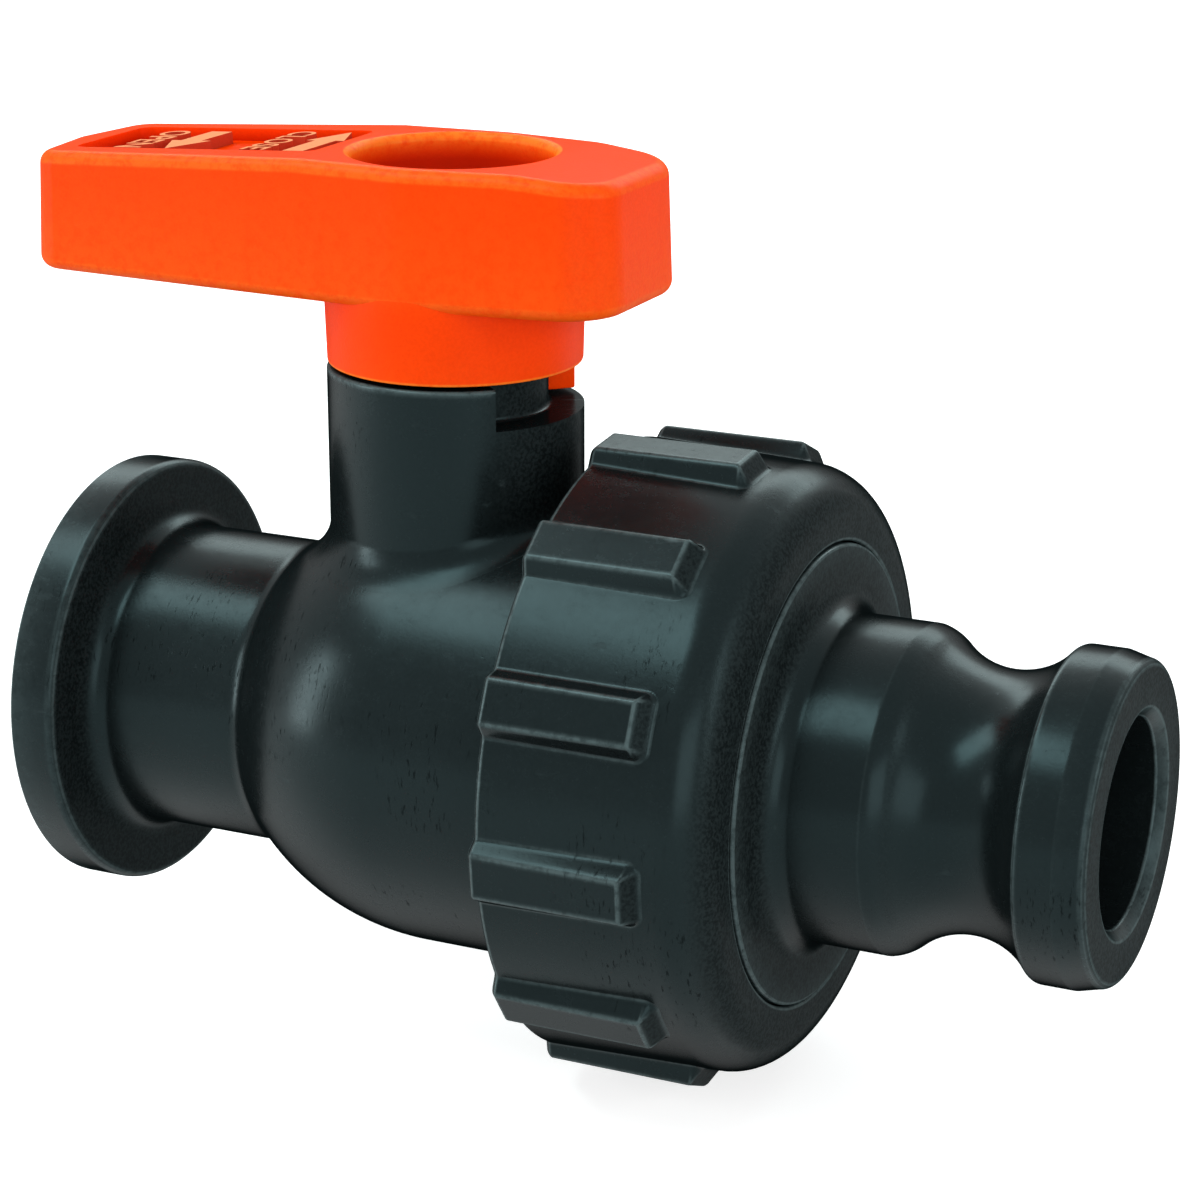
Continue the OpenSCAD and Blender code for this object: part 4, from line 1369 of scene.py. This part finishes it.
@dataclass
class UnionNut(SubAssembly):
    """Union nut: turned ring with an inner thread and grip ribs."""

    body: str = "nut"
    start: float = 63.81
    end: float = 89.11
    radius: float = 34.45
    shoulder_r: float = 33.75
    shoulder: float = 5.6
    bore_r: float = 30.65
    lip_x: float = 84.01
    open_r: float = 25.7
    rib_count: int = 12
    rib_phase: float = 5.2
    rib_r: float = 35.9
    rib_half: float = 2.4
    rib_flank: float = 1.2
    rib_len: float = 18.6
    rib_slope: float = 1.3
    rib_soft: float = 0.24
    rib_bend: float = 0.3
    flat_turn: float = 0.08
    edge: float = 0.5
    mouth: float = 0.8
    lip_edge: float = 0.2
    rounding: float = 0.7
    skin: float = 1.6
    bore_skin: float = 0.35
    lip_gap: float = 0.8
    before_slope: float = 1.9
    after_slope: float = 0.5
    end_step: float = 0.1
    side_step: float = 1.6
    bore_step: float = 0.45
    hidden_step: float = 3.0
    thread: Thread = field(default_factory=lambda: Thread(end=81.5))

    @property
    def rib_pitch(self) -> float:
        """Angle from one rib to the next."""
        return 2 * math.pi / self.rib_count

    @property
    def first_rib(self) -> float:
        """Angle of the first rib, from the top towards the camera's side."""
        return math.radians(90.0) + math.radians(self.rib_phase)

    def outline(self) -> Outline:
        """Lay the nut's closed outline.

        Returns:
            Points along the flow path.
        """
        return ([(self.start, self.bore_r + self.mouth), (self.start, self.radius - self.edge),
                 (self.start + self.edge, self.radius)]
                + arc(self.end - self.shoulder, self.shoulder_r - self.shoulder, self.shoulder, 90, 0, 32)
                + [(self.end, self.open_r + self.lip_edge), (self.end - self.lip_edge, self.open_r),
                   (self.lip_x, self.open_r), (self.lip_x, self.bore_r),
                   (self.start + self.mouth, self.bore_r)])

    def angles(self) -> np.ndarray:
        """Angles of the mesh, close together at the ribs' crests and feet.

        Returns:
            Angles in radians.
        """
        foot, bend = self.rib_half + self.rib_flank, self.rib_bend * self.rib_flank
        across = np.concatenate([[0.0, self.rib_half - 2 * bend],
                                 np.linspace(self.rib_half - bend, self.rib_half + bend, 6),
                                 [(self.rib_half + foot) / 2],
                                 np.linspace(foot - bend, foot + bend, 6), [foot + 2 * bend]])
        across = np.unique(np.round(np.concatenate([across, -across]), 4))
        near = across / self.radius
        gap = np.linspace(near[-1], self.rib_pitch + near[0], 7)[1:-1]
        one = np.concatenate([near, gap])
        every = [self.first_rib + k * self.rib_pitch + one for k in range(self.rib_count)]
        return np.sort(np.mod(np.concatenate(every), 2 * math.pi))

    def off_rib(self, turn: np.ndarray) -> np.ndarray:
        """Return the angle from the nearest rib's middle."""
        return np.mod(turn - self.first_rib + self.rib_pitch / 2, self.rib_pitch) - self.rib_pitch / 2

    def rib(self, x: np.ndarray, turn: np.ndarray) -> np.ndarray:
        """Share of the full rib height at a place, 0 off the ribs and 1 on their tops.

        Args:
            x: Places along the flow path in mm.
            turn: Angles in radians.

        Returns:
            Shares from 0 to 1.
        """
        across = np.abs(self.off_rib(turn)) * self.radius
        side = (self.rib_half + self.rib_flank - across) / self.rib_flank
        front = (self.start + self.rib_len - x) / self.rib_slope
        least = np.minimum(side, front)
        slant = 1.0 - np.hypot(np.maximum(1.0 - side, 0.0), np.maximum(1.0 - front, 0.0))
        return self.soft(np.where(least > 1.0, least, slant))

    def soft(self, share: np.ndarray) -> np.ndarray:
        """Slope from 0 to 1 with a round foot and a round crest.

        Args:
            share: Shares of a sharp slope, which may pass 0 and 1.

        Returns:
            Shares from 0 to 1.
        """
        bend = self.rib_soft
        low = np.where(share < bend, np.maximum(share + bend, 0.0) ** 2 / (4 * bend), share)
        high = 1.0 - np.maximum(1.0 + bend - share, 0.0) ** 2 / (4 * bend)
        return np.where(share > 1.0 + bend, 1.0, np.where(share > 1.0 - bend, high, low))

    def relief(self, x: np.ndarray, r: np.ndarray, turn: np.ndarray) -> np.ndarray:
        """Height of the ribs on the outside and of the thread on the inside.

        Args:
            x: Places along the flow path in mm.
            r: Plain radii in mm.
            turn: Angles in radians.

        Returns:
            Height to add in mm.
        """
        base = self.radius - (self.radius - self.shoulder_r) * np.clip(
            (x - self.start) / (self.end - self.shoulder - self.start), 0.0, 1.0)
        full = self.rib_r / np.cos(np.clip(self.off_rib(turn), -self.flat_turn, self.flat_turn)) - base
        outer = (r > self.bore_r + self.skin) * self.rib(x, turn) * full
        bored = (np.abs(r - self.bore_r) < self.bore_skin) * (x < self.lip_x - self.lip_gap)
        crest = self.thread.wave(x, turn)
        return outer - bored * self.thread.fade(x, self.thread.end) * self.thread.depth * (1.0 - crest)

    def spacing(self, x: float, r: float) -> float:
        """Space the outline's points, closest at the ribs' ends and in the threaded bore.

        Args:
            x: Place along the flow path in mm.
            r: Radius in mm.

        Returns:
            Largest gap in mm.
        """
        if r > self.bore_r + self.skin:
            past = x - self.start - self.rib_len
            return self.end_step if -self.before_slope < past < self.after_slope else self.side_step
        return self.bore_step if abs(r - self.bore_r) < 0.4 else self.hidden_step

    def build(self) -> Pieces:
        """Build the nut.

        Returns:
            The nut.
        """
        rounded = softened(self.outline(), self.rounding)
        outline = refined(refined(rounded, self.spacing), self.spacing)
        nut = turned("union_nut", outline, angles=self.angles(), relief=self.relief)
        # The nut's rib feet and fillets get a painted highlight as well as its crests.
        mark_wear_and_highlight(nut, feet=0.6)
        return {"union_nut": [nut]}


@dataclass
class CamAdapter(SubAssembly):
    """Male cam adapter with the flange that the nut pulls in."""

    body: str = "adapter"
    in_x: float = 78.16
    flange_x: float = 83.91
    flange_r: float = 30.0
    collar_r: float = 25.5
    collar_x: float = 89.41
    spigot_r: float = 18.2
    spigot_fillet: float = 3.0
    spigot_round: float = 5.0
    spigot_crease: float = 12.0
    groove_x: float = 109.11
    groove_arc: float = 9.8
    groove_r: float = 14.43
    head_r: float = 18.27
    head_len: float = 3.7
    head_back_edge: float = 1.0
    lead_len: float = 2.3
    lead_drop: float = 0.6
    head_edge: float = 1.0
    port_r: float = 12.7
    bore_r: float = 11.4
    taper_len: float = 10.0
    mouth: float = 1.1
    flange_edge: float = 0.4
    collar_edge: float = 0.2
    rounding: float = 0.6
    steps: int = 224

    def outline(self) -> Outline:
        """Lay the adapter's closed outline.

        Returns:
            Points along the flow path.
        """
        mid = self.groove_r + self.groove_arc
        crown, back = self.spigot_round, self.head_back_edge
        crown_r = self.spigot_r - crown * math.cos(math.radians(self.spigot_crease))
        near = math.degrees(math.asin((mid - crown_r) / (self.groove_arc + crown)))
        crown_x = self.groove_x - (self.groove_arc + crown) * math.cos(math.radians(near))
        far = math.degrees(math.asin((mid - self.head_r + back) / (self.groove_arc + back)))
        head_x = self.groove_x + (self.groove_arc + back) * math.cos(math.radians(far))
        lead_x = head_x + self.head_len
        end_x = lead_x + self.lead_len + self.head_edge
        lead_r = self.head_r - self.lead_drop
        foot = self.spigot_fillet
        return ([(self.in_x, self.port_r), (self.in_x, self.flange_r - self.flange_edge),
                 (self.in_x + self.flange_edge, self.flange_r), (self.flange_x, self.flange_r),
                 (self.flange_x, self.collar_r), (self.collar_x - self.collar_edge, self.collar_r),
                 (self.collar_x, self.collar_r - self.collar_edge)]
                + arc(self.collar_x + foot, self.spigot_r + foot, foot, 180, 270)
                + arc(crown_x, crown_r, crown, 90 - self.spigot_crease, near)
                + arc(self.groove_x, mid, self.groove_arc, 180 + near, 360 - far, 48)
                + arc(head_x, self.head_r - back, back, 180 - far, 90, 10)
                + [(lead_x, self.head_r)]
                + arc(end_x - self.head_edge, lead_r - self.head_edge, self.head_edge, 90, 0, 12)
                + [(end_x, self.bore_r + self.mouth), (end_x - self.mouth, self.bore_r),
                   (self.flange_x + self.taper_len, self.bore_r), (self.flange_x, self.port_r)])

    def build(self) -> Pieces:
        """Build the adapter.

        Returns:
            The adapter.
        """
        outline = refined(softened(self.outline(), self.rounding), lambda x, r: 5.0)
        adapter = turned("cam_adapter", outline, angles=self.steps)
        mark_wear_and_highlight(adapter)
        return {"cam_adapter": [adapter]}


@dataclass
class ScrewStack(SubAssembly):
    """Handle screw with its flat and lock washers."""

    body: str = "rotor"
    slot: str = "stainless"
    finish: Finish = BRIGHT_STEEL
    shank_r: float = 2.4
    length: float = 14.0
    head_r: float = 4.6
    head_z: float = 56.5
    head_h: float = 3.0
    key: float = 4.0
    key_depth: float = 2.0
    washer_r: float = 6.0
    washer_z: float = 54.3
    washer_t: float = 1.0
    lock_r: float = 4.4
    lock_z: float = 55.3
    lock_t: float = 1.2
    play: float = 0.05
    pitch: float = 0.8
    thread_depth: float = 0.3
    tip: float = 0.5
    crown_r: float = 1.9
    crown_h: float = 1.6
    head_edge: float = 0.15
    shank_skin: float = 0.2
    thread_step: float = 0.13
    gap_half: float = 0.2
    gap_tilt: float = 30.0

    @property
    def tip_z(self) -> float:
        """Height of the screw's tip."""
        return self.head_z - self.length

    def relief(self, z: np.ndarray, r: np.ndarray, turn: np.ndarray) -> np.ndarray:
        """Sink the screw's thread into its shank.

        Args:
            z: Heights in mm.
            r: Plain radii in mm.
            turn: Angles in radians.

        Returns:
            Height to add in mm.
        """
        on_shank = np.abs(r - self.shank_r) < self.shank_skin
        on_shank = on_shank * (z < self.head_z - 1.0) * (z > self.tip_z + 0.6)
        phase = np.mod(z / self.pitch - turn / (2 * math.pi), 1.0)
        return -self.thread_depth * on_shank * np.abs(2 * phase - 1.0)

    def screw(self) -> bpy.types.Object:
        """Build the button-head screw with its hexagon socket and thread.

        Returns:
            The screw.
        """
        low = self.tip_z
        crown = [(self.head_z + self.head_h - self.crown_h * (1 - math.sin(a)),
                  self.head_r - self.crown_r * (1 - math.cos(a)))
                 for a in np.radians(np.linspace(0.0, 90.0, 10))]
        shank = self.shank_r - self.play
        outline = np.array([(low, 0.0), (low, self.shank_r - self.tip), (low + self.tip, shank),
                            (self.head_z, shank), (self.head_z, self.head_r - self.head_edge),
                            (self.head_z + self.head_edge, self.head_r)] + crown
                           + [(self.head_z + self.head_h, 0.0)])
        fine = refined(outline, lambda z, r: (
            self.thread_step if abs(r - self.shank_r) < self.shank_skin else 4.0))
        piece = turned("handle_screw", fine, Axis.STEM, angles=72, relief=self.relief)
        reach = self.key / 2 / math.cos(math.radians(30))
        plan = [(BALL_X + reach * math.cos(a), reach * math.sin(a))
                for a in np.radians(np.arange(0, 360, 60))]
        top = self.head_z + self.head_h
        cut(piece, prism("key_tool", plan, top - self.key_depth, top + 1))
        return tidied(piece, sharp=30.0)

    def washer(self, name: str, radius: float, low: float, thick: float,
               split: bool = False) -> bpy.types.Object:
        """Build a washer.

        Args:
            name: Object's name.
            radius: Outer radius in mm.
            low: Height of its underside in mm.
            thick: Thickness in mm.
            split: Whether it is a split spring washer.

        Returns:
            The washer.
        """
        inner, slit = self.shank_r + self.play, self.gap_half
        outline = softened([(low, inner), (low, radius), (low + thick, radius), (low + thick, inner)], 0.3)
        piece = turned(name, outline, Axis.STEM, angles=96)
        if split:
            gap = prism("gap_tool", [(BALL_X + inner - 1, -slit), (BALL_X + radius + 1, -slit),
                                     (BALL_X + radius + 1, slit), (BALL_X + inner - 1, slit)],
                        -3.0, 3.0)
            gap.data.transform(Matrix.Translation((0.0, 0.0, (low + thick / 2) * MM))
                               @ Matrix.Rotation(math.radians(self.gap_tilt), 4, "X"))
            cut(piece, gap)
            tidied(piece, sharp=30.0)
        return piece

    def build(self) -> Pieces:
        """Build the stack.

        Returns:
            The screw and its washers.
        """
        screw = self.screw()
        flat = self.washer("flat_washer", self.washer_r, self.washer_z, self.washer_t)
        lock = self.washer("lock_washer", self.lock_r, self.lock_z, self.lock_t, split=True)
        return {"handle_screw": [screw], "flat_washer": [flat], "lock_washer": [lock]}


@dataclass
class InnerParts:
    """CAD solids whose shape is kept, with the finishes that they get."""

    black: tuple[str, ...] = ("seat_carrier", "ball", "stem")
    white: tuple[str, ...] = ("seat_inlet", "seat_outlet", "stem_thrust_washer")
    seals: tuple[str, ...] = ("seat_oring_inlet", "seat_oring_outlet", "carrier_oring", "face_oring",
                              "stem_oring_lower", "stem_oring_upper")
    brass: tuple[str, ...] = ("stem_insert",)

    def dress(self, nodes: dict[str, bpy.types.Object], finishes: Finishes) -> None:
        """Finish the kept solids.

        Args:
            nodes: The frame's objects by node.
            finishes: The valve's materials.
        """
        groups = ((self.black, INNER_BLACK, "black_plastic"), (self.white, TURNED_WHITE, "seat_plastic"),
                  (self.seals, SEAL_RUBBER, "seal_rubber"), (self.brass, INSERT_BRASS, "insert_brass"))
        for names, finish, slot in groups:
            for name in names:
                finishes.dress(nodes[name], finish, slot)
                log.info("%s: kept, %s", name, finish.name)


# Studio


@dataclass(frozen=True)
class Softbox:
    """Area lamp that faces the valve.

    Attributes:
        name: Lamp's name.
        away: Where it is from the valve, as right, up and towards the camera, in m.
        size: Its width and height in m.
        level: Share of plain daylight that it gives on a facing surface.
        red: Its red share, less than 1 for a cool lamp.
    """

    name: str
    away: tuple[float, float, float]
    size: tuple[float, float]
    level: float
    red: float = 1.0


@dataclass
class Studio:
    """Camera, lamps, floor and background."""

    azimuth: float = 25.297
    elevation: float = 17.554
    camera_at: tuple[float, float, float] = (212.88, -318.78, 127.87)
    lens: float = 99.8
    aim: tuple[float, float, float] = (62.0, 0.0, 12.0)
    floor_z: float = -36.1
    floor_reach: float = 4000.0
    floor_tone: float = 0.62
    floor_lift: float = 0.74
    daylight: float = 0.42
    lamps: tuple[Softbox, ...] = (
        Softbox("over", away=(-0.41, 0.63, 0.32), size=(0.66, 0.26), level=0.66, red=0.88),
        Softbox("rear", away=(0.1, 0.55, -0.5), size=(0.95, 0.28), level=0.66, red=0.82),
        Softbox("key", away=(-0.75, 0.12, 0.1), size=(0.16, 0.42), level=0.36),
        Softbox("front", away=(0.25, -0.1, 0.8), size=(0.5, 0.5), level=0.28),
        Softbox("fill", away=(0.7, 0.1, 0.45), size=(0.16, 0.42), level=0.3))

    def axes(self) -> tuple[Vector, Vector, Vector]:
        """Work out the camera's axes.

        Returns:
            Its right, up and back directions.
        """
        az, el = math.radians(self.azimuth), math.radians(self.elevation)
        return (Vector((math.cos(az), math.sin(az), 0.0)),
                Vector((-math.sin(az) * math.sin(el), math.cos(az) * math.sin(el), math.cos(el))),
                Vector((math.sin(az) * math.cos(el), -math.cos(az) * math.cos(el), math.sin(el))))

    def camera(self) -> None:
        """Set the camera as the photograph's."""
        right, up, back = self.axes()
        data = bpy.data.cameras.new("camera")
        data.lens = self.lens
        data.sensor_width = 36.0
        data.clip_start = 0.01
        data.clip_end = 20.0
        holder = bpy.data.objects.new("camera", data)
        spin = Matrix((right, up, back)).transposed().to_4x4()
        holder.matrix_world = Matrix.Translation(Vector(self.camera_at) * MM) @ spin
        bpy.context.scene.collection.objects.link(holder)
        bpy.context.scene.camera = holder

    def lamp(self, box: Softbox) -> None:
        """Add a softbox.

        Args:
            box: Softbox to add.
        """
        right, up, back = self.axes()
        offset = right * box.away[0] + up * box.away[1] + back * box.away[2]
        data = bpy.data.lights.new(box.name, "AREA")
        data.shape = "RECTANGLE"
        data.size, data.size_y = box.size
        data.color = (box.red, 1.0, 1.0)
        data.energy = math.pi ** 2 * box.level * offset.length_squared
        holder = bpy.data.objects.new(box.name, data)
        holder.location = Vector(self.aim) * MM + offset
        holder.rotation_euler = offset.to_track_quat("Z", "Y").to_euler()
        holder.visible_camera = False
        bpy.context.scene.collection.objects.link(holder)

    def shown(self, graph: Graph) -> Socket:
        """Tell the rays that see the background from those that light the valve.

        Args:
            graph: Node tree to work in.

        Returns:
            1 for camera, glossy and transmission rays, else 0.
        """
        camera, glossy, through = (graph.node("ShaderNodeLightPath", out=name) for name in (
            "Is Camera Ray", "Is Glossy Ray", "Is Transmission Ray"))
        return camera.larger(glossy).larger(through)

    def floor(self) -> None:
        """Lay a pale floor that keeps the valve's shadow."""
        reach = self.floor_reach
        corners = [(x, y, self.floor_z) for x, y in ((-reach, -reach), (reach, -reach), (reach, reach),
                                                     (-reach, reach))]
        piece = piece_from("floor", np.array(corners), [(0, 1, 2, 3)])
        made = bpy.data.materials.new("pale_floor")
        made.use_nodes = True
        graph = Graph(made.node_tree)
        plain = graph.node("ShaderNodeBsdfDiffuse", None, {"Color": rgba((self.floor_tone,) * 3)})
        lift = graph.node("ShaderNodeEmission", None, {"Color": rgba((1.0,) * 3),
                                                       "Strength": self.shown(graph) * self.floor_lift})
        both = graph.node("ShaderNodeAddShader", None, {0: plain, 1: lift})
        graph.node("ShaderNodeOutputMaterial", None, {"Surface": both})
        piece.data.materials.append(made)
        piece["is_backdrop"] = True

    def backdrop(self) -> None:
        """Set a white background over a dimmer even light."""
        world = bpy.data.worlds.new("backdrop")
        bpy.context.scene.world = world
        world.use_nodes = True
        graph = Graph(world.node_tree)
        tone = graph.blend(self.shown(graph), rgba((self.daylight,) * 3), rgba((1.0,) * 3))
        light = graph.node("ShaderNodeBackground", None, {"Color": tone, "Strength": 1.0})
        graph.node("ShaderNodeOutputWorld", None, {"Surface": light})

    def build(self) -> None:
        """Set up the whole studio."""
        self.camera()
        for box in self.lamps:
            self.lamp(box)
        self.floor()
        self.backdrop()
        bpy.context.scene.view_settings.view_transform = "Standard"


def main() -> None:
    """Build the valve in order, and note its sizes."""
    logging.basicConfig(level=logging.INFO, format="%(name)s: %(message)s")
    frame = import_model()
    finishes = Finishes()
    for part in (ValveBody(), Handle(), UnionNut(), CamAdapter(), ScrewStack()):
        part.dress(part.build(), finishes)
    InnerParts().dress(frame["nodes"], finishes)
    Studio().build()
    bpy.context.view_layer.update()
    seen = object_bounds()
    for name, low, high in zip("XYZ", seen[0], seen[1]):
        log.info("%s from %.1f to %.1f mm", name, low / MM, high / MM)


if __name__ == "__main__":
    main()
